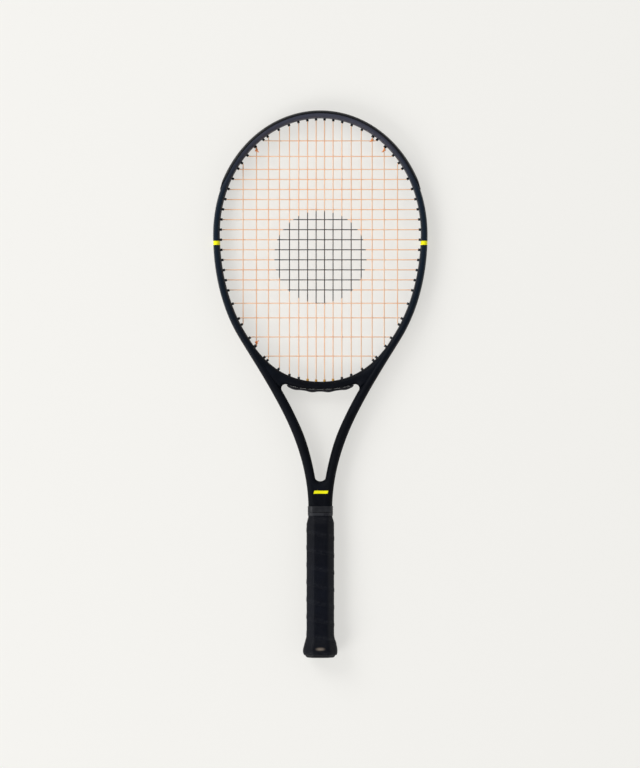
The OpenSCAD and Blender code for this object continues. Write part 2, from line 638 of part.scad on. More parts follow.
module cross_string() {
    color("#e8a56e") cord(concat(
        backwards(hole_path(top_t[start_main - 1], 0, -twin_off)),
        loop_path(top_t[start_main - 1], side_t[0], -loop_offset),
        [for (j = [1:n_crosses]) each concat(j % 2 == 1 ? cross_pass(j) : backwards(cross_pass(j)),
            j < n_crosses ? cross_loop(j) : [])],
        swap_side(concat(loop_path(side_t[n_crosses - 1], low_t[tie_main - 1], 0),
            hole_path(low_t[tie_main - 1], -twin_off, 0)))));
}

// ---- Tie-off knots, each round the main string beside its hole ----
knot_r = 0.6;
knot_gap = 0.45;
module knot(t, side, down) {
    ring_r = string_r + knot_gap + knot_r;
    tip = hoop_pt(t) - hoop_out(t) * reach;
    drop = abs(hoop_out(t)[0]) * tie_barrel_d / 2 + knot_r + fit;
    translate([side * tip[0], tip[1] - down * drop, 0]) rotate([90, 0, 0])
        rotate_extrude() translate([ring_r, 0]) circle(knot_r, $fn = 16);
}
module main_knots() {
    color("#e8a56e") for (s = [1, -1]) knot(top_t[tie_main - 1], s, 1);
}
module cross_knots() {
    color("#e8a56e") {
        translate([0, 0, twin_off]) knot(top_t[start_main - 1], 1, 1);
        knot(low_t[tie_main - 1], -1, -1);
    }
}

// ---- Handle ----
pallet_top_y = shaft_top_y - neck_h;
neck_dip = 0.8;         // how far the handle's waist draws in under the collar
neck_bevel = 3.7;
grip_top_y = pallet_top_y + 6.7;
grip_edge_t = 0.5;      // thickness of the base grip's tapered end
cone_y = 8;             // the flare is full up to here
cone_h = 22;            // height in which the flare runs out
wrap_top_y = handle_length - collar_h - 0.2;

// Width, depth and bevel of the bare handle at a height
function handle_at(y) = let (
    up = (y - pallet_top_y) / neck_h, k = 1 - ease((y - cone_y) / cone_h),
    w = mix(pallet_w, flare_w, k), d = mix(pallet_d, flare_d, k))
    y > pallet_top_y
        ? [mix(pallet_w, shaft_w + 2 * fit, up) - neck_dip * 4 * up * (1 - up),
           mix(pallet_d, shaft_beam + 2 * fit, up), mix(pallet_bevel, neck_bevel, up)]
        : [w, d, pallet_bevel * w / pallet_w];
function octagon(w, d, c) = [[w / 2, d / 2 - c], [w / 2 - c, d / 2], [c - w / 2, d / 2], [-w / 2, d / 2 - c],
                             [-w / 2, c - d / 2], [c - w / 2, -d / 2], [w / 2 - c, -d / 2], [w / 2, c - d / 2]];
// The bare handle's octagon grown by g on every side
function grown(s, g) = octagon(s[0] + 2 * g, s[1] + 2 * g, s[2] + g * (2 - sqrt(2)));
function handle_ring(y, g) = [for (p = grown(handle_at(y), g)) [p[0], y, p[1]]];

// A sleeve over the handle from the stations given, top first, each with its inner and outer growth
module sleeve(stops) {
    first = stops[0];
    last = stops[len(stops) - 1];
    difference() {
        skin([for (s = stops) handle_ring(s[0], s[2])]);
        skin(concat([lift(handle_ring(first[0], first[1]), 1)], [for (s = stops) handle_ring(s[0], s[1])],
            [lift(handle_ring(last[0], last[1]), -1)]));
    }
}
function lift(ring, dy) = [for (p = ring) p + [0, dy, 0]];

cap_steps = [for (y = [cap_length - 4:-4:cone_y]) y];
cap_cavity = [pallet_w - 2 * skirt_t, pallet_d - 2 * skirt_t, pallet_bevel - skirt_t * (2 - sqrt(2))];
door_ledge = 1.5;       // width of the ledge that the trap door rests on
door_t = 1.3;
door_fit = 0.15;

module slab(points, from, to) { translate([0, to, 0]) rotate([90, 0, 0]) linear_extrude(to - from) polygon(points); }
module box(w, d, from, to) { translate([-w / 2, from, -d / 2]) cube([w, to - from, d]); }

module butt_cap() {
    color("#101216") difference() {
        skin(concat([for (y = concat([cap_length], cap_steps)) handle_ring(y, 0)],
            [handle_ring(4, 0), handle_ring(1.2, -0.5), handle_ring(-1, -1.6)]));
        slab(octagon(flare_w * 2, flare_d * 2, 1), -5, 0);
        slab(octagon(cap_cavity[0], cap_cavity[1], cap_cavity[2]), cap_floor, cap_length + 1);
        box(door_w, door_d, -1, door_t + fit);
        box(door_w - 2 * door_ledge, door_d - 2 * door_ledge, -1, cap_floor + 1);
        staples(fit);
        tack(fit);
    }
}

module trap_door() {
    w = door_w - 2 * door_fit;
    d = door_d - 2 * door_fit;
    leg_t = 1.2;
    leg_x = door_w / 2 - door_ledge - door_fit - leg_t / 2;
    color("#1a1c21") {
        box(w, d, 0, door_t);
        for (s = [1, -1]) translate([s * leg_x, 0, 0]) box(leg_t, d - 2 * door_ledge - 2, door_t - 0.1, door_t + door_leg);
    }
}

// ---- Pallet: two moulded halves bonded over the twin tubes ----
function half_outline(w, d, c) = [[-w / 2, fit / 2], [-w / 2, d / 2 - c], [c - w / 2, d / 2],
                                  [w / 2 - c, d / 2], [w / 2, d / 2 - c], [w / 2, fit / 2]];
function trough(grow) = let (w = core_w + 2 * grow, d = core_d + 2 * grow, c = 3.2)
    [[w / 2, fit / 2], [w / 2, d / 2 - c], [w / 2 - c, d / 2], [c - w / 2, d / 2], [-w / 2, d / 2 - c], [-w / 2, fit / 2]];

module pallet_half() {
    inset = skirt_t + fit;
    sides_w = pallet_w - 2 * inset;
    difference() {
        union() {
            slab(concat(half_outline(pallet_w, pallet_d, pallet_bevel), trough(fit)), cap_length + fit, pallet_top_y);
            slab(concat(half_outline(sides_w, pallet_d - 2 * inset, pallet_bevel - inset * (2 - sqrt(2))), trough(fit)),
                pallet_base_y, cap_length + fit);
        }
        staples(fit);
    }
}
module pallet_front() { color("#6b6f73") pallet_half(); }
module pallet_back() { color("#6b6f73") mirror([0, 0, 1]) pallet_half(); }

// ---- Staples through the cap's two side bevels into the pallet ----
staple_y = 28.5;
staple_w = 8;
staple_wire = 0.6;
staple_leg = 3.4;
module staples(grow) {
    face = handle_at(staple_y + 2);
    bevel_r = (face[0] + face[1] - 2 * face[2]) / 2 / sqrt(2);
    for (s = [1, -1]) rotate([0, s * -45, 0]) translate([0, staple_y, bevel_r - staple_leg]) {
        translate([-staple_w / 2 - grow, -staple_wire / 2 - grow, staple_leg - staple_wire - fit - grow])
            cube([staple_w + 2 * grow, staple_wire + 2 * grow, staple_wire + 2 * grow]);
        for (e = [1, -1]) translate([e * (staple_w - staple_wire) / 2 - staple_wire / 2 - grow, -staple_wire / 2 - grow, -grow])
            cube([staple_wire + 2 * grow, staple_wire + 2 * grow, staple_leg - staple_wire + 2 * grow]);
    }
}
module cap_staples() { color("#b9bcc0") staples(0); }

// ---- Wraps ----
module base_grip() {
    color("#1b1d22") difference() {
        sleeve(concat([[grip_top_y, fit, fit + grip_edge_t], [pallet_top_y, fit, fit + base_grip_t]],
            [for (y = concat([cap_length], cap_steps)) [y, fit, fit + base_grip_t]],
            [[4, fit, fit + base_grip_t], [wrap_start, fit, fit + base_grip_t]]));
        tack(fit);
    }
}

// The tack that holds the base grip's first turn to the cap
tack_y = 16;
tack_pin = 0.9;
tack_head = 3;
tack_depth = 2;
module tack(grow) {
    translate([0, tack_y, handle_at(tack_y)[1] / 2]) {
        translate([0, 0, -tack_depth - grow]) cylinder(d = tack_pin + 2 * grow, h = tack_depth + base_grip_t * 0.6 + grow);
        translate([0, 0, base_grip_t * 0.5 - grow]) cylinder(d = tack_head + 2 * grow, h = 0.4 + (grow > 0 ? base_grip_t : 0));
    }
}
module grip_tack() { color("#b9bcc0") tack(0); }

module overgrip() {
    under = 2 * fit + base_grip_t;
    color("#15161b") sleeve(concat([[wrap_top_y, fit, fit + overgrip_t], [grip_top_y + 1.6, fit, fit + overgrip_t],
        [grip_top_y + 0.4, 2 * fit + grip_edge_t, 2 * fit + grip_edge_t + overgrip_t], [pallet_top_y, under, under + overgrip_t]],
        [for (y = concat([cap_length], cap_steps)) [y, under, under + overgrip_t]],
        [[4, under, under + overgrip_t], [wrap_start, under, under + overgrip_t]]));
}

module finishing_tape() {
    g = 2 * fit + overgrip_t;
    color("#2a2c31") sleeve([[wrap_top_y, g, g + tape_t], [wrap_top_y - tape_h, g, g + tape_t]]);
}

module rubber_collar() {
    top_q = 2 - collar_grip / (3 * arm_settle);
    inner = [2 * rim(top_q, 0)[0] + 4 * fit, beam(top_q) + 2 * fit, neck_bevel];
    ribs = 3;
    color("#26282d") difference() {
        union() {
            slab(grown(inner, collar_t * 0.7), handle_length - collar_h, handle_length);
            for (i = [0:ribs - 1]) let (y = handle_length - collar_h + collar_h * (i + 0.5) / ribs)
                slab(grown(inner, collar_t), y - 0.8, y + 0.8);
        }
        slab(grown(inner, 0), handle_length - collar_h - 1, handle_length + 1);
    }
}

frame();
bumper_guard();
grommet_strip_left();
grommet_strip_right();
throat_grommet_strip();
centre_grommets();
main_string();
cross_string();
main_knots();
cross_knots();
pallet_front();
pallet_back();
butt_cap();
trap_door();
cap_staples();
base_grip();
grip_tack();
overgrip();
finishing_tape();
rubber_collar();
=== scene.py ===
"""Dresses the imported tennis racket: paint, guard, grommets, woven strings, knots, handle and a plain studio.

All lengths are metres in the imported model's frame: the origin is the centre of the butt's flat end, +Y runs
to the tip and +Z is the front of the string bed. Every surface is a grid of points worked out with numpy.
"""

from __future__ import annotations

import logging
from dataclasses import dataclass, field
from enum import Enum

import bpy
import numpy as np
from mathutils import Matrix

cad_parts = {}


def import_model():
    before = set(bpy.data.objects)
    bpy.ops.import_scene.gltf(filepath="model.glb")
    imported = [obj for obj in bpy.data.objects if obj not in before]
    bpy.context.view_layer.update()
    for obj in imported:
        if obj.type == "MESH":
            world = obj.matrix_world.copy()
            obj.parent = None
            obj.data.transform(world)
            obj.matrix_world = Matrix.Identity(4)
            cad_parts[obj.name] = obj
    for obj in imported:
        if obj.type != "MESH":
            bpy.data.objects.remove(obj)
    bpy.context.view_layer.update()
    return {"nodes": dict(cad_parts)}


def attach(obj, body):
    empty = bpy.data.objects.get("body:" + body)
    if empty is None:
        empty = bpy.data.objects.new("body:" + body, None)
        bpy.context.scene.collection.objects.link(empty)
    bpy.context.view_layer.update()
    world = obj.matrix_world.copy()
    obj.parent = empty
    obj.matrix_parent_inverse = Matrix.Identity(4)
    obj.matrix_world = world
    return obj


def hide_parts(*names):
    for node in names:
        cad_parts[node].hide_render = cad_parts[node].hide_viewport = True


log = logging.getLogger("racket")

Array = np.ndarray
Number = Array | float
Span = tuple[float, float]
Colour = tuple[float, float, float]
Piece = bpy.types.Object
Nodes = dict[str, Piece]
Socket = bpy.types.NodeSocket
Material = bpy.types.Material

TURN = 2.0 * np.pi
HALVINGS = 24
SETTLINGS = 8


class Side(Enum):
    """The half of the racket that a piece belongs to, as the sign of its x."""

    LEFT = -1
    RIGHT = 1


class Body(Enum):
    """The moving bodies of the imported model."""

    RACKET = "racket"
    TRAP_DOOR = "trap_door"


# Small formulas
# --------------


def ease(k: Number) -> Array:
    """Smooth step: 3k^2 - 2k^3, with k held between 0 and 1."""
    c = np.clip(k, 0.0, 1.0)
    return c * c * (3.0 - 2.0 * c)


def rounded(k: Number, least: float = 0.0) -> Array:
    """A quarter circle: 0 at k = 0, and 1 from k = 1 on."""
    return np.sqrt(np.clip(1.0 - (1.0 - np.clip(k, 0.0, 1.0)) ** 2, least, 1.0))


def mix(a: Number, b: Number, k: Number) -> Array:
    """The value a share k of the way from a to b."""
    return a + (b - a) * k


def unit(v: Array) -> Array:
    """Each row scaled to length 1."""
    return v / np.maximum(np.linalg.norm(v, axis=-1, keepdims=True), 1e-12)


def pair(x: Number, y: Number) -> Array:
    """Plan points from their two coordinates."""
    return np.stack(np.broadcast_arrays(x, y), axis=-1)


def turned(v: Array) -> Array:
    """Each plan vector turned a quarter turn anticlockwise: (x, y) becomes (-y, x)."""
    return pair(-v[..., 1], v[..., 0])


def with_height(plan: Array, z: Number) -> Array:
    """Plan points given a height z as their third coordinate."""
    z = np.broadcast_to(np.asarray(z, float)[..., None], (*plan.shape[:-1], 1))
    return np.concatenate([plan, z], axis=-1)


def extruded(section: list[tuple[Array, float]]) -> Array:
    """Rings along a piece, from the plan line and the height of each point of its section."""
    return np.stack([with_height(line, z) for line, z in section], axis=1)


def circle(count: int) -> Array:
    """Angles spread evenly round a full turn."""
    return np.linspace(0.0, TURN, count, endpoint=False)


def squared(a: Array, power: float) -> tuple[Array, Array]:
    """A squared ellipse's two shares at angle a: cos a and sin a to the power 2/n, with their own signs."""
    return tuple(np.sign(v) * np.abs(v) ** (2.0 / power) for v in (np.cos(a), np.sin(a)))


def edge_share(z: Number, depth: Number, power: float) -> Array:
    """How far out a squared ellipse reaches at height z: (1 - |2z/depth|^n)^(1/n)."""
    return np.maximum(0.0, 1.0 - np.abs(2.0 * z / depth) ** power) ** (1.0 / power)


def path_length(path: Array) -> Array:
    """The way along a path at each of its points, from 0."""
    return np.concatenate([[0.0], np.cumsum(np.linalg.norm(np.diff(path, axis=0), axis=1))])


# Meshes
# ------


def grid_corners(rows: int, cols: int) -> list[tuple[Array, Array]]:
    """The (row, column) of the four corners of every cell of a grid."""
    r, c = (v.ravel() for v in np.meshgrid(np.arange(rows), np.arange(cols), indexing="ij"))
    return [(r, c), (r, c + 1), (r + 1, c + 1), (r + 1, c)]


class Shape:
    """Gathers closed shells, each a grid of rings, and makes one mesh piece of them."""

    def __init__(self, name: str) -> None:
        """Starts an empty shape with the name of its piece."""
        self.name = name
        self.points: list[Array] = []
        self.quads: list[Array] = []
        self.quad_uvs: list[Array] = []
        self.caps: list[list[int]] = []
        self.count = 0

    def shell(self, grid: Array, joined: bool = False, rows_at: Array | None = None,
              cols_at: Array | None = None) -> Shape:
        """Adds one closed shell. Its faces are turned outwards by the sign of its volume.

        Args:
            grid: rows x columns x 3 points. Each row is one closed ring.
            joined: True where the last ring joins the first. Otherwise a flat cap closes each end.
            rows_at: the first texture coordinate of each row, one more than the rows where joined.
            cols_at: the second texture coordinate of each column, with one more for the seam.

        Returns:
            The shape itself.
        """
        rows, cols = grid.shape[:2]
        spans = rows if joined else rows - 1
        rows_at = np.linspace(0.0, 1.0, spans + 1) if rows_at is None else rows_at
        cols_at = np.linspace(0.0, 1.0, cols + 1) if cols_at is None else cols_at
        corners = grid_corners(spans, cols)
        quads = np.stack([(r % rows) * cols + c % cols for r, c in corners], axis=1)
        uvs = np.stack([pair(rows_at[r], cols_at[c]) for r, c in corners], axis=1)
        caps = [] if joined else [np.arange(cols)[::-1], (rows - 1) * cols + np.arange(cols)]
        flat = grid.reshape(-1, 3)
        if self._volume(flat, quads, caps) < 0.0:
            quads, uvs, caps = quads[:, ::-1], uvs[:, ::-1], [cap[::-1] for cap in caps]
        self.points.append(flat)
        self.quads.append(quads + self.count)
        self.quad_uvs.append(uvs)
        self.caps += [(cap + self.count).tolist() for cap in caps]
        self.count += len(flat)
        return self

    @staticmethod
    def _volume(points: Array, quads: Array, caps: list[Array]) -> float:
        """Six times the signed volume: the sum of each triangle's triple product about the middle."""
        tris = [quads[:, [0, 1, 2]], quads[:, [0, 2, 3]]]
        tris += [np.stack([np.full(len(cap) - 2, cap[0]), cap[1:-1], cap[2:]], axis=1) for cap in caps]
        p = (points - points.mean(axis=0))[np.concatenate(tris)]
        return float(np.einsum("ij,ij->", p[:, 0], np.cross(p[:, 1], p[:, 2])))

    def piece(self, finish: Finish, slot: str, *nodes: str, body: Body = Body.RACKET,
              crease: float = 38.0) -> Piece:
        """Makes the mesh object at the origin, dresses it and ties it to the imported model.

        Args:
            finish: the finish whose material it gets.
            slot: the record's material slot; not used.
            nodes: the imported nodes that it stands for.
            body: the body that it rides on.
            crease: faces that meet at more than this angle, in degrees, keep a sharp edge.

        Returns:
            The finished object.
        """
        quads = np.concatenate(self.quads)
        mesh = bpy.data.meshes.new(self.name)
        mesh.from_pydata(np.concatenate(self.points).tolist(), [], quads.tolist() + self.caps)
        uvs = np.zeros((len(mesh.loops), 2))
        uvs[: quads.size] = np.concatenate(self.quad_uvs).reshape(-1, 2)
        mesh.uv_layers.new(name="surface").data.foreach_set("uv", uvs.ravel())
        mesh.polygons.foreach_set("use_smooth", np.ones(len(mesh.polygons), dtype=bool))
        mesh.set_sharp_from_angle(angle=float(np.radians(crease)))
        mesh.validate()
        mesh.materials.append(finish.material())
        obj = linked(self.name, mesh)
        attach(obj, body.value)
        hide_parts(*nodes)
        log.info("%s: %d faces, rides on %s, stands for %s", self.name, len(mesh.polygons), body.value, nodes)
        return obj


def linked(name: str, data: bpy.types.ID) -> Piece:
    """A new object with that data, linked into the scene."""
    obj = bpy.data.objects.new(name, data)
    bpy.context.scene.collection.objects.link(obj)
    return obj


def sweep(path: Array, radius: float, sides: int, upright: Colour = (0.0, 0.0, 1.0)) -> Array:
    """Carries a circle along a path: centre + r (side cos a + over sin a), side square to path and upright.

    Args:
        path: points x 3, nowhere along upright.
        radius: the circle's radius.
        sides: points on each ring.
        upright: the direction that side keeps square to.

    Returns:
        The rings, points x sides x 3.
    """
    along = unit(np.gradient(path, axis=0))
    side = unit(np.cross(along, np.array(upright)) + 1e-9)
    over = np.cross(side, along)
    a = circle(sides)[None, :, None]
    return path[:, None] + radius * (side[:, None] * np.cos(a) + over[:, None] * np.sin(a))


def revolved(start: Array, axis: Array, profile: list[Span], sides: int) -> Array:
    """Turns a profile about a level axis: start + axis s + r (side cos a + z sin a), with side square to it.

    Args:
        start: the axis' first point, in plan.
        axis: its direction, in plan.
        profile: (s, r) by turns: the way along the axis and the distance from it.
        sides: points on each ring.

    Returns:
        The rings, rows x sides x 3.
    """
    a, (s, r) = circle(sides)[None, :], np.array(profile).T[..., None]
    return with_height(start + axis * s[..., None] + turned(axis) * (r * np.cos(a))[..., None], r * np.sin(a))


# Finishes
# --------


@dataclass(frozen=True)
class Layer:
    """A socket of a material's graph that is reckoned with like a number."""

    graph: Graph
    socket: Socket

    def __add__(self, other: Layer | float) -> Layer:
        """The sum."""
        return self.graph.maths("ADD", self, other)

    def __sub__(self, other: Layer | float) -> Layer:
        """The difference."""
        return self.graph.maths("SUBTRACT", self, other)

    def __mul__(self, other: Layer | float) -> Layer:
        """The product."""
        return self.graph.maths("MULTIPLY", self, other)

    def __abs__(self) -> Layer:
        """The size without the sign."""
        return self.graph.maths("ABSOLUTE", self)


class Graph:
    """A thin layer over one material's nodes, so that a finish reads as a list of its layers."""

    def __init__(self, name: str) -> None:
        """Makes an empty node material with a Principled shader."""
        self.mat = bpy.data.materials.new(name)
        self.mat.use_nodes = True
        self.nodes = self.mat.node_tree.nodes
        self.shader = next(n for n in self.nodes if n.type == "BSDF_PRINCIPLED")
        self.coords = self.nodes.new("ShaderNodeTexCoord")
        self.height: Layer | None = None

    def plug(self, socket: Socket, value: object) -> None:
        """Links a socket to a layer or another socket, or sets its value."""
        value = value.socket if isinstance(value, Layer) else value
        if isinstance(value, Socket):
            self.mat.node_tree.links.new(value, socket)
        else:
            socket.default_value = (*value, 1.0) if socket.type == "RGBA" else value

    def node(self, kind: str, out: str | int, inputs: dict[str | int, object], **settings: str) -> Layer:
        """Adds a node with its settings and inputs, and gives one of its outputs."""
        node = self.nodes.new(f"ShaderNode{kind}")
        for name, value in settings.items():
            setattr(node, name, value)
        for key, value in inputs.items():
            self.plug(node.inputs[key], value)
        return Layer(self, node.outputs[out])

    def place(self, scale: Colour = (1.0, 1.0, 1.0), turn: Colour = (0.0, 0.0, 0.0),
              on: str = "Object") -> Layer:
        """The object's own coordinates in metres, or the surface's (on="UV"), stretched and turned."""
        return self.node("Mapping", 0, {"Vector": self.coords.outputs[on], "Scale": scale, "Rotation": turn})

    def noise(self, place: Layer, scale: float, detail: float = 3.0, rough: float = 0.55) -> Layer:
        """Fractal noise from 0 to 1, about scale lumps in each metre."""
        inputs = {"Vector": place, "Scale": scale, "Detail": detail, "Roughness": rough}
        return self.node("TexNoise", "Fac", inputs)

    def cells(self, place: Layer, scale: float, feature: str = "F1") -> Layer:
        """The distance to the nearest cell's middle, or to its edge."""
        return self.node("TexVoronoi", "Distance", {"Vector": place, "Scale": scale}, feature=feature)

    def parts(self, place: Layer) -> list[Layer]:
        """The three coordinates of a place."""
        node = self.nodes.new("ShaderNodeSeparateXYZ")
        self.plug(node.inputs[0], place)
        return [Layer(self, out) for out in node.outputs]

    def maths(self, operation: str, *values: Layer | float) -> Layer:
        """One step of arithmetic on layers or numbers."""
        return self.node("Math", 0, dict(enumerate(values)), operation=operation)

    def ramp(self, value: Layer, low: float, high: float, to_low: float = 0.0, to_high: float = 1.0) -> Layer:
        """The value carried from the span low-high to the span to_low-to_high, and held there."""
        return self.node("MapRange", 0, dict(enumerate((value, low, high, to_low, to_high))))

    def blend(self, share: Layer, first: Layer | Colour, second: Layer | Colour) -> Layer:
        """A colour between two others."""
        return self.node("Mix", 2, {0: share, 6: first, 7: second}, data_type="RGBA")

    def inside(self, value: Layer, low: float, high: float, soft: float) -> Layer:
        """1 where the value lies between low and high, and 0 past a soft edge."""
        return self.ramp(value, low - soft, low + soft) * self.ramp(value, high - soft, high + soft, 1.0, 0.0)

    def raise_by(self, height: Layer, amount: float) -> None:
        """Adds a height pattern of that many metres to the surface's relief."""
        self.height = height * amount if self.height is None else self.height + height * amount

    def finish(self, colour: Layer, roughness: Layer, specular: float = 0.5, coat: float = 0.0,
               coat_rough: float = 0.1, metallic: float = 0.0) -> Material:
        """Plugs the layers into the shader. Specular, coat and metallic are set on the shader itself.

        Args:
            colour: the base colour.
            roughness: the roughness.
            specular: the specular level.
            coat: the weight of the clear coat.
            coat_rough: the coat's roughness.
            metallic: 1 for bare metal.

        Returns:
            The finished material.
        """
        inputs = {"Base Color": colour, "Roughness": roughness, "Specular IOR Level": specular,
                  "Coat Weight": coat, "Coat Roughness": coat_rough, "Metallic": metallic,
                  "Normal": self.node("Bump", 0, {"Height": self.height, "Strength": 1.0, "Distance": 1.0})}
        for name, value in inputs.items():
            self.plug(self.shader.inputs[name], value)
        return self.mat


@dataclass(frozen=True)
class Finish:
    """A finish of one kind of surface. Its material is made once and shared."""

    name: str

    def material(self) -> Material:
        """The finish's material, made on first use."""
        name = f"{self.name} finish"
        return bpy.data.materials.get(name) or self.make(Graph(name))

    def make(self, g: Graph) -> Material:
        """Builds the material's nodes."""
        raise NotImplementedError


@dataclass(frozen=True)
class FramePaint(Finish):
    """Dark satin paint, matt black on the arms, with a painted highlight at the tip, two yellow bands and one
    short yellow bar.
    """

    name: str = "frame paint"
    hoop: Colour = (0.0085, 0.0158, 0.0262)
    # The lighter grey painted at the tip as a highlight.
    crown: Colour = (0.056, 0.058, 0.080)
    arms: Colour = (0.0018, 0.0023, 0.0040)
    cloud: Colour = (0.013, 0.017, 0.028)
    fleck: Colour = (0.06, 0.075, 0.11)
    band: Colour = (0.90, 0.86, 0.012)
    band_y: Span = (0.5168, 0.5219)
    bar_y: Span = (0.2054, 0.2092)
    bar_x: float = 0.0088
    bar_slant: float = 0.25
    bar_shift: float = 0.0511

    def make(self, g: Graph) -> Material:
        """A lighter grey at the tip, which is a painted highlight, fades to navy and then to matt black, under
        bands, bar and scuffs.
        """
        place = g.place()
        x, y, z = g.parts(place)
        cloudy = g.noise(place, 45.0, 4.0)
        base = g.blend(g.ramp(y, 0.34, 0.52), self.arms, self.hoop)
        # Painted highlight: the tip is lightened towards the crown's grey.
        base = g.blend(g.ramp(y, 0.58, 0.67), base, self.crown)
        base = g.blend(g.ramp(cloudy, 0.35, 0.75, 0.0, 0.22), base, self.cloud)
        base = g.blend(g.ramp(g.cells(place, 2600.0), 0.05, 0.16, 1.0, 0.0) * 0.20, base, self.fleck)
        wobble = (g.noise(place, 900.0) - 0.5) * 0.0002
        band = g.inside(y + wobble, *self.band_y, 0.00012) * g.ramp(abs(x), 0.099, 0.1)
        ends = (side * self.bar_x - self.bar_shift for side in (-1.0, 1.0))
        across = g.inside(x + y * -self.bar_slant, *ends, 0.0001)
        bar = g.inside(y, *self.bar_y, 0.0001) * across * g.ramp(z, 0.0, 0.001)
        worn = g.ramp(g.noise(g.place((1.0, 0.35, 1.0)), 260.0, 5.0, 0.7), 0.66, 0.72)
        ink = g.maths("MAXIMUM", band, bar) * g.ramp(worn, 0.0, 1.0, 1.0, 0.86)
        scuffs = g.ramp(g.noise(g.place((1.0, 0.06, 1.0), (0.0, 0.0, 0.5)), 900.0, 4.0, 0.7), 0.60, 0.74)
        matt = g.ramp(y, 0.34, 0.46, 0.26, 0.0)
        rough = g.ramp(cloudy, 0.3, 0.7, 0.27, 0.36) + scuffs * 0.10 + matt
        g.raise_by(g.noise(place, 1500.0, 2.0), 0.000006)
        g.raise_by(scuffs, -0.000003)
        g.raise_by(ink, 0.00002)
        return g.finish(g.blend(ink, base, self.band), rough, specular=0.07)


@dataclass(frozen=True)
class MouldedPlastic(Finish):
    """Moulded nylon with a fine spark-eroded grain, flow lines and paler spots worn by rubbing."""

    name: str = "moulded plastic"
    colour: Colour = (0.010, 0.011, 0.014)
    rubbed_and_highlight: Colour = (0.035, 0.036, 0.042)
    roughness: float = 0.42
    grain: float = 0.000012
    scuffed_from: float = 9.0
    specular: float = 0.4

    def make(self, g: Graph) -> Material:
        """Grain over the whole piece; past the height scuffed_from the court has scraped it."""
        place = g.place()
        flow = g.noise(g.place((1.0, 0.2, 1.0)), 160.0, 3.0)
        scrape = g.ramp(g.noise(g.place((0.12, 1.0, 1.0), (0.0, 0.0, 0.25)), 1400.0, 5.0, 0.75), 0.56, 0.70)
        scrape = scrape * g.ramp(g.parts(place)[1], self.scuffed_from - 0.02, self.scuffed_from, 0.08, 1.0)
        colour = g.blend(g.ramp(flow, 0.35, 0.7, 0.0, 0.35), self.colour, self.rubbed_and_highlight)
        colour = g.blend(scrape * 0.75, colour, tuple(min(1.0, 2.6 * c) for c in self.rubbed_and_highlight))
        rough = g.ramp(flow, 0.3, 0.7, self.roughness - 0.05, self.roughness + 0.06) + scrape * 0.22
        g.raise_by(g.noise(place, 3200.0, 2.0), self.grain)
        g.raise_by(scrape, -2.5 * self.grain)
        return g.finish(colour, rough, specular=self.specular)


@dataclass(frozen=True)
class StringFinish(Finish):
    """Orange polyester string with drawn lines and a plain round stencil on the front of the bed."""

    name: str = "string"
    colour: Colour = (0.92, 0.50, 0.27)
    pale: Colour = (0.95, 0.63, 0.42)
    drawn: Colour = (0.95, 0.62, 0.36)
    ink: Colour = (0.008, 0.009, 0.012)
    stencil_y: float = 0.502
    stencil_r: float = 0.058

    def make(self, g: Graph) -> Material:
        """Drawn lines run along the string; ink lies on the front inside a circle, thin at its edge."""
        place = g.place()
        x, y, z = g.parts(place)
        drawn = g.noise(g.place((6.0, 900.0, 1.0), on="UV"), 1.0, 3.0)
        colour = g.blend(g.ramp(g.noise(place, 30.0, 3.0), 0.35, 0.65), self.colour, self.pale)
        colour = g.blend(g.ramp(drawn, 0.4, 0.7, 0.0, 0.25), colour, self.drawn)
        up = y - self.stencil_y
        ragged = g.maths("SQRT", x * x + up * up) + (g.noise(place, 420.0) - 0.5) * 0.0024
        disc = g.ramp(ragged, self.stencil_r - 0.0006, self.stencil_r + 0.0006, 1.0, 0.0)
        speckled = g.ramp(g.noise(place, 1500.0, 4.0, 0.7), 0.30, 0.42, 0.55, 1.0)
        ink = disc * g.ramp(z, -0.0007, -0.0001) * speckled
        g.raise_by(drawn, 0.000012)
        rough = g.ramp(drawn, 0.3, 0.7, 0.26, 0.40) + ink * 0.2
        return g.finish(g.blend(ink, colour, self.ink), rough, coat=0.15, coat_rough=0.2)


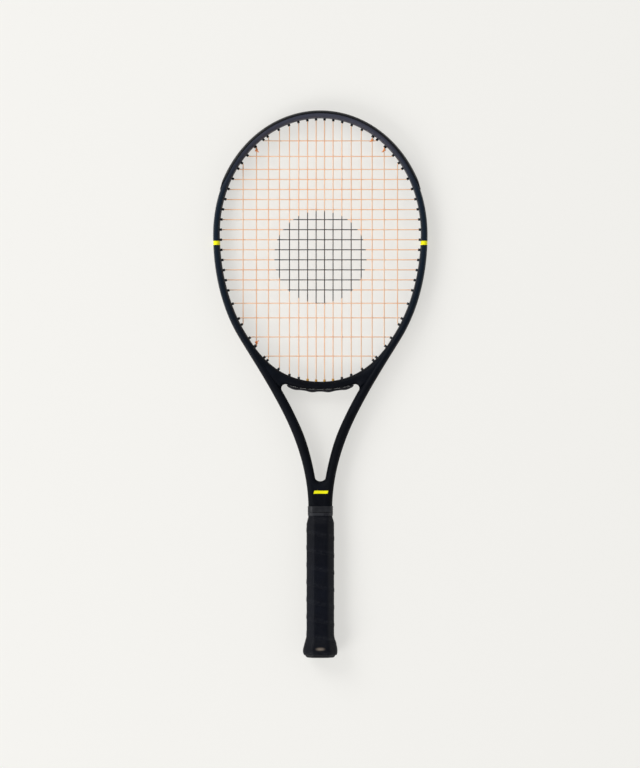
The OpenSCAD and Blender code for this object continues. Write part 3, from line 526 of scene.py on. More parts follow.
@dataclass(frozen=True)
class TackyGrip(Finish):
    """A dark overgrip with leather-like pebbles, palm shine, dust in its laps, and a beige painted highlight
    on the flare's front.
    """

    name: str = "overgrip"
    colour: Colour = (0.0018, 0.0024, 0.0052)
    worn: Colour = (0.0040, 0.0052, 0.0100)
    dusty: Colour = (0.030, 0.032, 0.038)
    # The beige of the painted highlight on the flare's front.
    rubbed_and_highlight: Colour = (0.20, 0.165, 0.135)
    # How far up from the butt's end the painted highlight sits.
    highlight_y: float = 0.0112

    def make(self, g: Graph) -> Material:
        """Small pebbles and finer pores; the palm's stretch is smoother; dust lies along the lap's edge; a
        painted highlight lies on the flare's front.
        """
        place = g.place()
        x, y, z = g.parts(place)
        pebbles = g.ramp(g.cells(place, 1150.0, "DISTANCE_TO_EDGE"), 0.0, 0.22)
        creases = g.noise(g.place((1.0, 3.2, 1.0), (0.0, 0.0, 0.3)), 210.0, 4.0, 0.6)
        palm = g.inside(y, 0.03, 0.125, 0.025) * g.ramp(g.noise(place, 60.0, 3.0), 0.35, 0.65, 0.3, 1.0)
        lap = g.inside(g.parts(g.place(on="UV"))[1], 0.16, 0.28, 0.05)
        dust = lap * g.ramp(g.noise(place, 300.0, 4.0), 0.40, 0.68, 0.0, 0.55)
        colour = g.blend(palm, self.colour, self.worn)
        colour = g.blend(g.ramp(creases, 0.40, 0.70, 0.0, 0.40), colour, self.worn)
        colour = g.blend(dust * 0.6, colour, self.dusty)
        # Painted highlight: a soft beige spot on the flare's front, only where the surface faces +Z.
        across, along = x * 200.0, (y - self.highlight_y) * 520.0
        near = g.ramp(across * across + along * along, 0.0, 2.4, 1.0, 0.0)
        painted_highlight = near * near * g.ramp(z, 0.0, 0.004) * g.ramp(creases, 0.3, 0.6, 0.6, 1.0)
        g.raise_by(pebbles, 0.000045)
        g.raise_by(creases, 0.00022)
        g.raise_by(g.noise(place, 5200.0, 2.0), 0.00001)
        rough = g.ramp(creases, 0.3, 0.7, 0.36, 0.48) - palm * 0.06
        return g.finish(g.blend(painted_highlight, colour, self.rubbed_and_highlight), rough, specular=0.13)


@dataclass(frozen=True)
class Rubber(Finish):
    """Black rubber or vinyl with a dull bloom, mould lines and a soft shine."""

    name: str = "rubber"
    colour: Colour = (0.012, 0.013, 0.016)
    bloom: Colour = (0.045, 0.047, 0.052)
    roughness: float = 0.45
    relief: float = 0.00002

    def make(self, g: Graph) -> Material:
        """A cloudy bloom over a fine grain."""
        place = g.place()
        cloud = g.noise(place, 120.0, 4.0, 0.6)
        g.raise_by(g.noise(place, 2600.0, 2.0), self.relief)
        g.raise_by(cloud, 2.0 * self.relief)
        colour = g.blend(g.ramp(cloud, 0.42, 0.72, 0.0, 0.5), self.colour, self.bloom)
        rough = g.ramp(cloud, 0.3, 0.7, self.roughness - 0.06, self.roughness + 0.10)
        return g.finish(colour, rough, specular=0.32)


@dataclass(frozen=True)
class PalletFoam(Finish):
    """Grey moulded foam with open skin cells and ridges worn by rubbing."""

    name: str = "pallet foam"
    colour: Colour = (0.15, 0.16, 0.17)
    pale: Colour = (0.23, 0.24, 0.25)
    # The dark colour painted into each cell's middle as shade.
    painted_pit_shade: Colour = (0.05, 0.05, 0.055)

    def make(self, g: Graph) -> Material:
        """Round cells sunk into a chalky skin, each darkened towards its sunk middle as painted shade."""
        place = g.place()
        pits = g.ramp(g.cells(place, 900.0), 0.0, 0.35)
        cloud = g.noise(place, 70.0, 4.0)
        g.raise_by(pits, 0.00006)
        colour = g.blend(g.ramp(cloud, 0.3, 0.7), self.colour, self.pale)
        # Painted shade: up to half way to the dark colour at each cell's sunk middle.
        colour = g.blend(g.ramp(pits, 0.0, 0.5, 0.5, 0.0), colour, self.painted_pit_shade)
        return g.finish(colour, g.ramp(cloud, 0.3, 0.7, 0.75, 0.9), specular=0.3)


@dataclass(frozen=True)
class StapleSteel(Finish):
    """Zinc-plated wire with drawn lines and dull spots."""

    name: str = "staple steel"
    colour: Colour = (0.55, 0.56, 0.58)
    dull: Colour = (0.30, 0.29, 0.28)

    def make(self, g: Graph) -> Material:
        """Fine lines along the wire over a spotted plating."""
        spots = g.noise(g.place(), 1800.0, 3.0)
        g.raise_by(g.noise(g.place((1.0, 12.0, 12.0)), 500.0, 3.0), 0.000006)
        colour = g.blend(g.ramp(spots, 0.5, 0.75, 0.0, 0.6), self.colour, self.dull)
        return g.finish(colour, g.ramp(spots, 0.3, 0.7, 0.24, 0.42), metallic=1.0)


# The racket's lines
# ------------------


@dataclass(frozen=True)
class Outline:
    """The tube seen from the front: two half ellipses, one curve for each throat arm, and the straight shaft.

    q runs along the tube: 0 at the tip, 1 where the arm leaves the hoop, 2 where the shaft narrows and 3 at
    the tube's end. A negative q is the same place on the left.
    """

    half_w: float = 0.126
    crown: float = 0.144
    skirt: float = 0.1875
    tip_y: float = 0.6759
    shoulder_swell: float = 0.0015
    bridge_lift: float = 0.0013
    leave: float = -42.0
    hoop_face: float = 0.0083
    shoulder_face: float = 0.010
    arm_face: float = 0.0122
    shaft_w: float = 0.030
    core_w: float = 0.0236
    tip_beam: float = 0.022
    side_beam: float = 0.024
    shaft_beam: float = 0.021
    core_d: float = 0.0176
    top_y: float = 0.185
    end_y: float = 0.014
    neck_q: float = 2.1023
    arm_lead: float = 0.060
    arm_settle: float = 0.08986
    power: float = 2.6

    @property
    def wide_y(self) -> float:
        """The height of the hoop's widest line."""
        return self.tip_y - self.crown

    def reach_y(self, t: Number) -> Array:
        """The ellipse's half height: the crown's above the widest line and the skirt's below it."""
        return np.where(np.asarray(t) > 0.0, self.crown, self.skirt)

    def swell(self, t: Number) -> Array:
        """How far the hoop's lower part leaves its ellipse: fuller beside the bridge, flatter inside."""
        lift = (self.shoulder_swell + self.bridge_lift) * ease((-t - 60.0) / 30.0)
        return lift - self.shoulder_swell * ease((t - self.leave) / (-60.0 - self.leave))

    def hoop(self, t: Number) -> Array:
        """Inner edge of the hoop at angle t: (a cos t, wide + b sin t + swell)."""
        t = np.asarray(t, float)
        a = np.radians(t)
        return pair(self.half_w * np.cos(a), self.wide_y + self.reach_y(t) * np.sin(a) + self.swell(t))

    def hoop_out(self, t: Number) -> Array:
        """Direction square to the hoop at angle t: (cos t / a, sin t / b), made 1 long."""
        a = np.radians(t)
        return unit(pair(np.cos(a) / self.half_w, np.sin(a) / self.reach_y(t)))

    def neck(self, a: Array) -> Array:
        """0 on the full shaft, 1 where it has narrowed to the core."""
        return ease((a - 2.0) / (self.neck_q - 2.0))

    def face(self, a: Array) -> Array:
        """Width of the tube's face: hoop, shoulder, arm, half shaft, half core, each eased into the next."""
        return np.select(
            [a <= 1.0, a <= 1.5, a <= 2.0],
            [mix(self.hoop_face, self.shoulder_face, ease((a - 0.6) / 0.4)),
             mix(self.shoulder_face, self.arm_face, ease((a - 1.0) / 0.5)),
             mix(self.arm_face, self.shaft_w / 2, ease((a - 1.5) / 0.5))],
            mix(self.shaft_w / 2, self.core_w / 2, self.neck(a)))

    def beam(self, a: Array) -> Array:
        """Depth of the tube: tip, sides, shaft and core, each eased into the next."""
        return np.select(
            [a <= 1.0, a <= 2.0],
            [mix(self.tip_beam, self.side_beam, ease(a / 0.7)),
             mix(self.side_beam, self.shaft_beam, ease(a - 1.1))],
            mix(self.shaft_beam, self.core_d, self.neck(a)))

    def arm_knots(self) -> Array:
        """The four control points of the throat arm's curve."""
        out = self.hoop_out(self.leave)
        start = self.hoop(self.leave) + out * self.shoulder_face / 2
        end = np.array([self.shaft_w / 4, self.top_y])
        return np.stack([start, start - turned(out) * self.arm_lead, end + [0.0, self.arm_settle], end])

    def pick(self, a: Array, hoop: Array, arm: Array, shaft: Array) -> Array:
        """The value of the stretch that a lies in."""
        return np.where(a[..., None] <= 1.0, hoop, np.where(a[..., None] <= 2.0, arm, shaft))

    def hoop_t(self, a: Array) -> Array:
        """The hoop's angle at a, down to where the arm leaves it."""
        return mix(90.0, self.leave, np.minimum(a, 1.0))

    def middle(self, a: Array) -> Array:
        """Middle line of the tube: half a face outside the hoop, then the cubic curve, then straight down."""
        t, k, s = self.hoop_t(a), self.arm_knots(), np.clip(a - 1.0, 0.0, 1.0)[..., None]
        hoop = self.hoop(t) + self.hoop_out(t) * (self.face(a) / 2)[..., None]
        arm = k[0] * (1 - s) ** 3 + 3 * k[1] * s * (1 - s) ** 2 + 3 * k[2] * s**2 * (1 - s) + k[3] * s**3
        return self.pick(a, hoop, arm, pair(self.face(a) / 2, mix(self.top_y, self.end_y, a - 2.0)))

    def outward(self, a: Array) -> Array:
        """Direction square to the tube, away from the racket's middle."""
        k, s = np.diff(self.arm_knots(), axis=0), np.clip(a - 1.0, 0.0, 1.0)[..., None]
        along = k[0] * (1 - s) ** 2 + 2 * k[1] * s * (1 - s) + k[2] * s**2
        return self.pick(a, self.hoop_out(self.hoop_t(a)), turned(unit(along)), np.array([1.0, 0.0]))

    def rim(self, q: Number, depth: Number) -> Array:
        """The plan point at a depth under the tube's outer edge, mirrored where q is negative."""
        q = np.asarray(q, float)
        a = np.abs(q)
        p = self.middle(a) + self.outward(a) * (self.face(a) / 2 - depth)[..., None]
        return p * pair(np.where(q < 0.0, -1.0, 1.0), 1.0)

    def hole_q(self, t: Number, depth: float) -> Array:
        """Where a hole square to the hoop at angle t meets the tube's rim: by halving, below the hoop."""
        t = np.atleast_1d(np.asarray(t, float))
        start, out = self.hoop(t), self.hoop_out(t)
        low, high = np.ones_like(t), np.full_like(t, 1.6)
        for _ in range(HALVINGS):
            m = (low + high) / 2
            v = self.rim(m, depth) - start
            over = out[:, 0] * v[:, 1] - out[:, 1] * v[:, 0] > 0.0
            low, high = np.where(over, m, low), np.where(over, high, m)
        return np.where(t >= self.leave, (90.0 - t) / (90.0 - self.leave), (low + high) / 2)

    def bridge_top(self, x: Number) -> Array:
        """Upper edge of the bridge: the hoop's inner edge."""
        return self.hoop(-np.degrees(np.arccos(np.abs(x) / self.half_w)))[..., 1]


@dataclass(frozen=True)
class StringPlan(Outline):
    """Where every string runs: 16 mains, 19 crosses, their holes, and their loops outside the frame."""

    side_mains: int = 8
    pitch: float = 0.01055
    spread: float = 0.000042
    first_cross: float = 0.0282
    gaps: tuple[float, ...] = (0.0195, 0.0163, *([0.0126] * 12), 0.0167, 0.0183, 0.024, 0.024)
    radius: float = 0.000625
    weave: float = 0.000695
    barrel_proud: float = 0.0026
    reach: float = 0.0030
    groove: float = 0.0028
    string_depth: float = 0.000625
    twin: float = 0.000665
    side_step: float = 0.0014
    loop_lead: float = 0.0026
    tube_unit: float = 0.290
    tie_main: int = 7
    start_main: int = 6
    bridge_mains: int = 4
    guard_crosses: int = 5
    guard_past: float = 0.012
    groove_past: float = 0.035
    groove_ease: float = 0.012
    bridge_h: float = 0.0098
    bridge_end_h: float = 0.0128
    corner_x: float = 0.046
    strip_t: float = 0.0012
    fit: float = 0.0001

    def main_x(self, i: Number) -> Array:
        """Main i lies at pitch (i - 1/2), spread a little by the cube of it."""
        k = np.asarray(i, float) - 0.5
        return self.pitch * k + self.spread * k**3

    def cross_y(self) -> Array:
        """The heights of the 19 crosses."""
        return self.tip_y - self.first_cross - np.concatenate([[0.0], np.cumsum(self.gaps)])

    def main_t(self, top: bool) -> Array:
        """Angles of the mains' holes, settled so that each barrel's tip lies on its string's line."""
        x, s = self.main_x(np.arange(1, self.side_mains + 1)), 1.0 if top else -1.0
        t = s * np.degrees(np.arccos(x / self.half_w))
        for _ in range(SETTLINGS):
            share = (x + self.reach * self.hoop_out(t)[:, 0]) / self.half_w
            t = s * np.degrees(np.arccos(np.minimum(1.0, share)))
        return t

    def side_t(self) -> Array:
        """Angles of the crosses' holes, settled in the same way."""
        up = self.cross_y() - self.wide_y
        t, b = np.zeros_like(up), np.where(up > 0.0, self.crown, self.skirt)
        for _ in range(SETTLINGS):
            t = np.degrees(np.arcsin((up - self.swell(t) + self.reach * self.hoop_out(t)[:, 1]) / b))
        return t

    def bridge_low(self, x: Number) -> Array:
        """Lower edge of the bridge: its top less a height that grows with the square of x."""
        k = (np.asarray(x) / self.corner_x) ** 2
        return self.bridge_top(x) - mix(self.bridge_h, self.bridge_end_h, k)

    def throat_top(self, x: Number) -> Array:
        """Upper face of the throat strip, seated just under the bridge."""
        return self.bridge_low(x) - self.fit

    def guard_q(self) -> float:
        """Where the bumper guard ends."""
        return float(self.hole_q(self.side_t()[self.guard_crosses - 1], 0.0)[0]) + self.guard_past

    def groove_q(self) -> float:
        """Where the groove for the strips ends."""
        return float(self.hole_q(self.main_t(False)[self.bridge_mains], 0.0)[0]) + self.groove_past

    def stations(self, start: float, end: float, step: float) -> Array:
        """Values of q from start to end, about step apart."""
        return np.linspace(start, end, max(3, int(abs(end - start) / step)))


# Frame
# -----


@dataclass
class Frame:
    """The painted carbon frame: one bent tube, its bridge, and the web that fills the fork."""

    plan: StringPlan
    groove_half: float = 0.0033
    slim_q: float = 1.6
    fork_slim: float = 0.0025
    merge_q: float = 1.87
    merge_w: float = 0.004
    seam: float = 0.00001
    corner_r: float = 0.0051
    bridge_exit: float = 12.0
    bridge_beam: float = 0.020
    bridge_swell: float = 0.001
    bridge_power: float = 3.0
    bridge_sides: int = 48
    tube_sides: int = 56
    crotch_r: float = 0.0064
    fork_y: float = 0.2274
    web_end_y: float = 0.1836
    web_half: float = 0.01042
    dimple: float = 2.0

    def tube_stops(self) -> Array:
        """Values of q along the whole tube, from the left end over the tip to the right end."""
        g, neck, fade = self.plan.groove_q(), self.plan.neck_q, self.plan.groove_ease
        half = np.concatenate([
            np.linspace(0.0, g, 190, endpoint=False), g + np.linspace(0.0, fade, 5),
            np.linspace(g + 4.0 * fade / 3.0, 2.0, 84), np.linspace(2.0, neck, 10)[1:], [3.0]])
        return np.concatenate([-half[:0:-1], half])

    def inner_edge(self, q: Array) -> Array:
        """The tube's inner edge: drawn in at the fork, and past its face where it is pressed flat."""
        a = np.abs(q)
        drawn_in = self.fork_slim * ease((a - self.slim_q) / (self.merge_q - self.slim_q))
        extra = (self.merge_w + self.fork_slim) * ease((a - self.merge_q) / (2.0 - self.merge_q)) - drawn_in
        return self.plan.rim(q, self.plan.face(a) + extra)

    def tube(self) -> Array:
        """The tube's skin: a squared ellipse on the middle line, with a square groove outside the hoop.

        Each ring runs from the groove's upper lip round the inside to its lower lip, and through the groove's
        floor. Where the two tubes meet in the shaft, each is pressed flat against the other.
        """
        q = self.tube_stops()
        a, n = np.abs(q), self.plan.power
        depth, outer, inner = self.plan.beam(a)[:, None], self.plan.rim(q, 0.0), self.inner_edge(q)
        width = np.linalg.norm(outer - inner, axis=1)[:, None]
        lip = np.arcsin((2 * self.groove_half / depth) ** (n / 2))
        u, z = squared(lip + (TURN - 2 * lip) * np.linspace(0.0, 1.0, self.tube_sides), n)
        u, z = width / 2 * u, depth / 2 * z
        cut = ease((self.plan.groove_q() - a) / self.plan.groove_ease + 1.0)[:, None]
        floor_z = mix(self.groove_half * 0.5, self.groove_half * 0.98, cut)
        floor_u = mix(width / 2 * edge_share(floor_z, depth, n), width / 2 - self.plan.groove, cut)
        u, z = np.concatenate([u, floor_u, floor_u], axis=1), np.concatenate([z, -floor_z, floor_z], axis=1)
        skin = ((outer + inner) / 2)[:, None] + unit(outer - inner)[:, None] * u[..., None]
        x = skin[..., 0]
        right = np.where((q > 1.0)[:, None], np.maximum(self.seam, x), x)
        skin[..., 0] = np.where((q < 0.0)[:, None], np.minimum(-self.seam, x), right)
        return with_height(skin, z)

    def slope(self, x: float, span: float = 0.001) -> float:
        """Slope of the bridge's lower edge."""
        return float(self.plan.bridge_low(x + span / 2) - self.plan.bridge_low(x - span / 2)) / span

    def corner(self) -> tuple[float, Array, float]:
        """The fillet circle between the bridge and the arm, found by halving.

        Returns:
            Its place along the tube, its centre, and the bridge's slope above it.
        """
        def centre(q: float) -> Array:
            """The circle's centre where it touches the arm at q."""
            return self.plan.rim(q, self.plan.face(np.array(q)) + self.corner_r)

        low, high = 1.05, 1.6
        for _ in range(HALVINGS):
            m = (low + high) / 2
            p = centre(m)
            over = p[1] - self.plan.bridge_low(p[0]) + self.corner_r * np.hypot(1.0, self.slope(p[0]))
            low, high = (m, high) if over > 0.0 else (low, m)
        q = (low + high) / 2
        return q, centre(q), self.slope(centre(q)[0])

    def bridge(self) -> Array:
        """The bridge's skin: squared sections between its edges, round the fillet and into the shoulder."""
        p = self.plan
        q, centre, slope = self.corner()
        start, out = np.pi / 2 + np.arctan(slope), p.outward(np.array(q))
        end = np.arctan2(out[1], out[0]) + np.radians(self.bridge_exit)
        x1 = centre[0] + self.corner_r * np.cos(start)
        x2, x3 = x1 + 0.018, float(p.hoop(p.leave)[0]) - 0.002
        x, k, r = np.linspace(0.0, x1, 30), np.linspace(0.0, 1.0, 17)[1:], np.linspace(0.0, 1.0, 13)[1:]
        turn, at = mix(start, end, k), mix(q - 0.03, 1.04, r)
        low = np.concatenate([
            pair(x, p.bridge_low(x)), centre + self.corner_r * pair(np.cos(turn), np.sin(turn)),
            p.rim(at, p.face(at) * 0.45)])
        above = np.concatenate([x, mix(x1, x2, k), mix(x2, x3, r)])
        high = pair(above, p.bridge_top(above))
        high[-len(r):] += r[:, None] * np.array([0.0003, -0.0003])
        depth = self.bridge_beam + self.bridge_swell * np.concatenate([0.0 * x, k, 1.0 + r])[:, None]
        u, z = squared(circle(self.bridge_sides), self.bridge_power)
        width = np.linalg.norm(high - low, axis=1)[:, None]
        across = unit(high - low)[:, None] * (width / 2 * u)[..., None]
        half = with_height(((high + low) / 2)[:, None] + across, depth / 2 * z)
        return np.concatenate([half[:0:-1] * np.array([-1.0, 1.0, 1.0]), half])

    def web(self) -> Array:
        """The fork's filling: outlines stacked through its depth, each with the round notch of its own level.

        At the top of the fork the notch is as wide as the gap between the arms at that level, so that its
        wall runs on from theirs. It deepens towards both faces, which leaves a dimple under the notch.
        """
        q = np.linspace(self.slim_q, 2.0, 200)
        edge = self.inner_edge(q)
        crest = (self.plan.rim(q, 0.0) + edge) / 2
        at_fork = (crest[:, 0], edge[:, 0], self.plan.beam(q))
        wide, gap, beam = (np.interp(-self.fork_y, -crest[:, 1], v) for v in at_fork)
        level = np.sin(np.linspace(-np.pi / 2, np.pi / 2, 49)) * self.web_half
        over = ((wide - gap) * (1.0 - edge_share(level, beam, self.plan.power)) + 0.00015)[:, None]
        a = np.linspace(0.0, -np.pi, 41)
        notch = pair((gap + over) * np.cos(a), self.fork_y + (self.crotch_r + self.dimple * over) * np.sin(a))
        y = np.linspace(self.fork_y, self.web_end_y, 12)
        side = pair(np.interp(-y, -crest[:, 1], crest[:, 0]), y)
        rest = np.concatenate([side * [-1.0, 1.0], side[::-1]])
        rest = np.broadcast_to(rest, (len(level), *rest.shape))
        return with_height(np.concatenate([notch, rest], axis=1), level[:, None])

    def build(self) -> Piece:
        """Makes the frame's piece."""
        shape = Shape("carbon_frame").shell(self.tube()).shell(self.bridge()).shell(self.web())
        return shape.piece(FramePaint(), "frame_paint", "frame")


# Grommets
# --------


@dataclass
class Grommets:
    """The bumper guard, the two side strips, the throat strip and the four amber centre grommets."""

    plan: StringPlan
    guard_t: float = 0.0015
    guard_end_t: float = 0.0006
    barrel: Span = (0.0016, 0.0010)
    tie_barrel: Span = (0.0020, 0.0014)
    base_depth: float = 0.0015
    lip: float = 0.0032
    channel: float = 0.002125
    strip_half: float = 0.003134
    strip_gap: float = 0.006
    barrel_sides: int = 16
    upright_sides: int = 20
    flange_r: float = 0.0022
    flange_t: float = 0.0006
    centre_mains: int = 2
    rail_t: float = 0.0012
    rail_low: float = 0.0015
    wave_h: float = 0.0026
    throat_end: float = 0.04184

    def barrels(self, shape: Shape, angles: Array, side: Side, tied: bool = False) -> None:
        """Adds one barrel for each hole angle, square to the hoop's inner edge: a tube with a rounded lip."""
        p, mirror, end = self.plan, np.array([side.value, 1.0]), -self.plan.barrel_proud
        outer, bore = self.tie_barrel if tied else self.barrel
        lip = [(end * 0.3, outer), (end + 0.00045, outer), (end + 0.00022, outer - 0.00005),
               (end + 0.00006, outer - 0.00019), (end, outer - 0.00035), (end + 0.00004, bore + 0.00008),
               (end + 0.0002, bore)]
        for t in angles:
            start = p.hoop(t) * mirror
            base = p.rim(p.hole_q(t, self.base_depth), self.base_depth)[0] * mirror
            depth = np.linalg.norm(base - start) - 0.0004
            profile = [(depth, outer), *lip, (depth, bore)]
            shape.shell(revolved(start, p.hoop_out(t) * mirror, profile, self.barrel_sides), joined=True)

    def guard_rings(self) -> Array:
        """The guard's section along the tip: flanges over the frame's corners and a channel in the groove.

        Both faces follow the tube's squared ellipse at a distance; the flanges thin out at the guard's ends.
        """
        p, end = self.plan, self.plan.guard_q()
        q = p.stations(-end, end, 0.005)
        a, n, k = np.abs(q), p.power, np.linspace(0.0, 1.0, 14)
        w, d, left = p.face(a)[:, None] / 2, p.beam(a)[:, None] / 2, (end - a)[:, None]
        g = p.fit + mix(self.guard_end_t, self.guard_t, ease(left / 0.035))
        top = np.radians(mix(34.0, 70.0, ease(left / 0.07)))
        thin = g * (1.0 - 0.30 * ease(1.0 - k * 9.0))
        out_u, out_z = squared(mix(top - 0.02, np.arcsin((self.channel / (d + g)) ** (n / 2)), k), n)
        in_u, in_z = squared(mix(top, np.arcsin((self.lip / d) ** (n / 2)), k), n)
        lip_u, one = w * edge_share(self.lip, 2 * d, n) + p.fit, np.ones_like(w)
        out_u = np.concatenate([(w + thin) * out_u, w - 0.0004, w - self.base_depth], axis=1)
        floor_z = self.channel - np.array([0.00005, 0.0001])
        out_z = np.concatenate([(d + thin) * out_z, one * floor_z], axis=1)
        in_u = np.concatenate([(w + p.fit) * in_u, lip_u, w - p.groove + p.fit], axis=1)
        in_z = np.concatenate([(d + p.fit) * in_z, one * self.lip, one * self.lip * 0.98], axis=1)
        u = np.concatenate([in_u, in_u[:, ::-1], out_u, out_u[:, ::-1]], axis=1)
        z = np.concatenate([in_z, -in_z[:, ::-1], -out_z, out_z[:, ::-1]], axis=1)
        out = p.outward(a) * pair(np.where(q < 0, -1.0, 1.0), 1.0)
        return with_height(p.rim(q, p.face(a) / 2)[:, None] + out[:, None] * u[..., None], z)

    def guard(self) -> Piece:
        """The bumper guard with its 26 barrels."""
        shape = Shape("bumper_guard_moulding").shell(self.guard_rings())
        top, side = self.plan.main_t(True), self.plan.side_t()[: self.plan.guard_crosses]
        tie, start = self.plan.tie_main - 1, self.plan.start_main - 1
        for half in Side:
            tied = [tie, start] if half is Side.RIGHT else [tie]
            self.barrels(shape, np.concatenate([np.delete(top, tied), side]), half)
            self.barrels(shape, top[tied], half, tied=True)
        finish = MouldedPlastic("guard plastic", (0.0035, 0.0038, 0.0052), (0.012, 0.013, 0.016),
                                scuffed_from=0.672, specular=0.22)
        return shape.piece(finish, "guard_plastic", "bumper_guard", crease=50.0)

    def strip(self, half: Side) -> Piece:
        """One side's strip: a flat base in the groove, with a bead along it and a barrel for each string."""
        p, side = self.plan, half.name.lower()
        q = p.stations(p.guard_q() + self.strip_gap, p.groove_q() - p.groove_ease, 0.0065) * half.value
        low, high, h, soft, bead = p.groove - p.fit, self.base_depth, self.strip_half, 0.00025, 0.0002
        section = [(low, h), (low, -h), (high + soft, -h), (high, -h + soft), (high, -0.0012),
                   (high + bead, -0.0008), (high + bead, 0.0008), (high, 0.0012), (high, h - soft),
                   (high + soft, h)]
        rings = extruded([(p.rim(q, depth), z) for depth, z in section])
        shape = Shape(f"{side}_strip_moulding").shell(rings)
        low_t = p.main_t(False)[p.bridge_mains:]
        tied = [p.tie_main - 1 - p.bridge_mains] if half is Side.LEFT else []
        self.barrels(shape, np.concatenate([p.side_t()[p.guard_crosses:], np.delete(low_t, tied)]), half)
        self.barrels(shape, low_t[tied], half, tied=True)
        return shape.piece(MouldedPlastic("grommet plastic"), "grommet_plastic", f"grommet_strip_{side}")

    def wave(self, x: Array) -> Array:
        """Height of the throat strip's rails: a cosine hill over each string loop."""
        m = self.plan.main_x(np.arange(1, self.plan.bridge_mains + 1))
        near = np.abs(np.abs(x)[:, None] - (m[0::2] + m[1::2]) / 2).min(axis=1) / (self.plan.pitch * 0.9)
        return mix(self.rail_low, self.wave_h, 0.5 + 0.5 * np.cos(np.pi * np.minimum(1.0, near)))

    def uprights(self, shape: Shape, mains: range, foot: list[Span], back: float) -> None:
        """Adds barrels that stand straight up through the bridge, from the throat strip's lower face.

        Args:
            shape: the shape that they join.
            mains: the mains that run in them, on each side.
            foot: the profile up to where the plain barrel starts.
            back: the way along the bore at which it ends.
        """
        p, (r, b) = self.plan, self.barrel
        for i in mains:
            x = float(p.main_x(i))
            base = float(p.throat_top(x)) - p.strip_t
            top = float(p.bridge_top(x)) + p.barrel_proud - base
            profile = [*foot, (top - 0.0004, r), (top - 0.0001, r - 0.0001), (top, r - 0.0003),
                       (top, b + 0.0001), (top - 0.0002, b), (back, b)]
            for half in Side:
                start = np.array([x * half.value, base])
                shape.shell(revolved(start, np.array([0.0, 1.0]), profile, self.upright_sides), joined=True)

    def throat_strip(self) -> Piece:
        """The channel under the bridge: a web and two rails that rise over the string loops, and barrels."""
        p, end, soft = self.plan, self.throat_end, 0.0003
        x = np.linspace(-end, end, 150)
        y = p.throat_top(x)
        z2, floor = p.side_step + p.radius, y - p.strip_t
        z1, z3 = z2 + self.rail_t, z2 - p.fit
        rail = floor - self.wave(x) * ease((end - np.abs(x)) / 0.003 + 0.3)
        half = [(rail + soft, z1), (rail, z1 - soft), (rail, z2 + soft), (rail + soft, z2), (floor, z3)]
        section = [(y, z1), (y, z2), (y, -z2), (y, -z1), *((row, -z) for row, z in half), *half[::-1]]
        shape = Shape("throat_strip_moulding").shell(extruded([(pair(x, row), z) for row, z in section]))
        foot = (0.0004, self.barrel[0])
        self.uprights(shape, range(self.centre_mains + 1, p.bridge_mains + 1), [foot], foot[0])
        return shape.piece(MouldedPlastic("grommet plastic"), "grommet_plastic", "throat_grommet_strip")

    def centre(self) -> Piece:
        """Four flanged amber grommets round the middle mains."""
        shape, r, f, t, soft = Shape("amber_grommets"), self.barrel[0], self.flange_r, self.flange_t, 0.0001
        foot = [(0.0, f - soft), (soft, f), (t - soft, f), (t, f - soft), (t, r + 0.0002), (t + 0.0002, r)]
        self.uprights(shape, range(1, self.centre_mains + 1), foot, 0.0)
        finish = MouldedPlastic("amber nylon", (0.70, 0.36, 0.045), (0.84, 0.52, 0.12), 0.34, 0.000008,
                                specular=0.5)
        return shape.piece(finish, "centre_grommet", "centre_grommets")

    def build(self) -> list[Piece]:
        """Makes every moulding."""
        return [self.guard(), *(self.strip(half) for half in Side), self.throat_strip(), self.centre()]


# Strings
# -------


def way(plan: Array, z: Number = 0.0, corner: float = 0.0) -> Array:
    """Rows of (x, y, z, corner) for plan points; corner is 1 at the points that get rounded."""
    plan = np.atleast_2d(plan)
    return np.column_stack([plan, np.broadcast_to(z, len(plan)), np.full(len(plan), corner)])


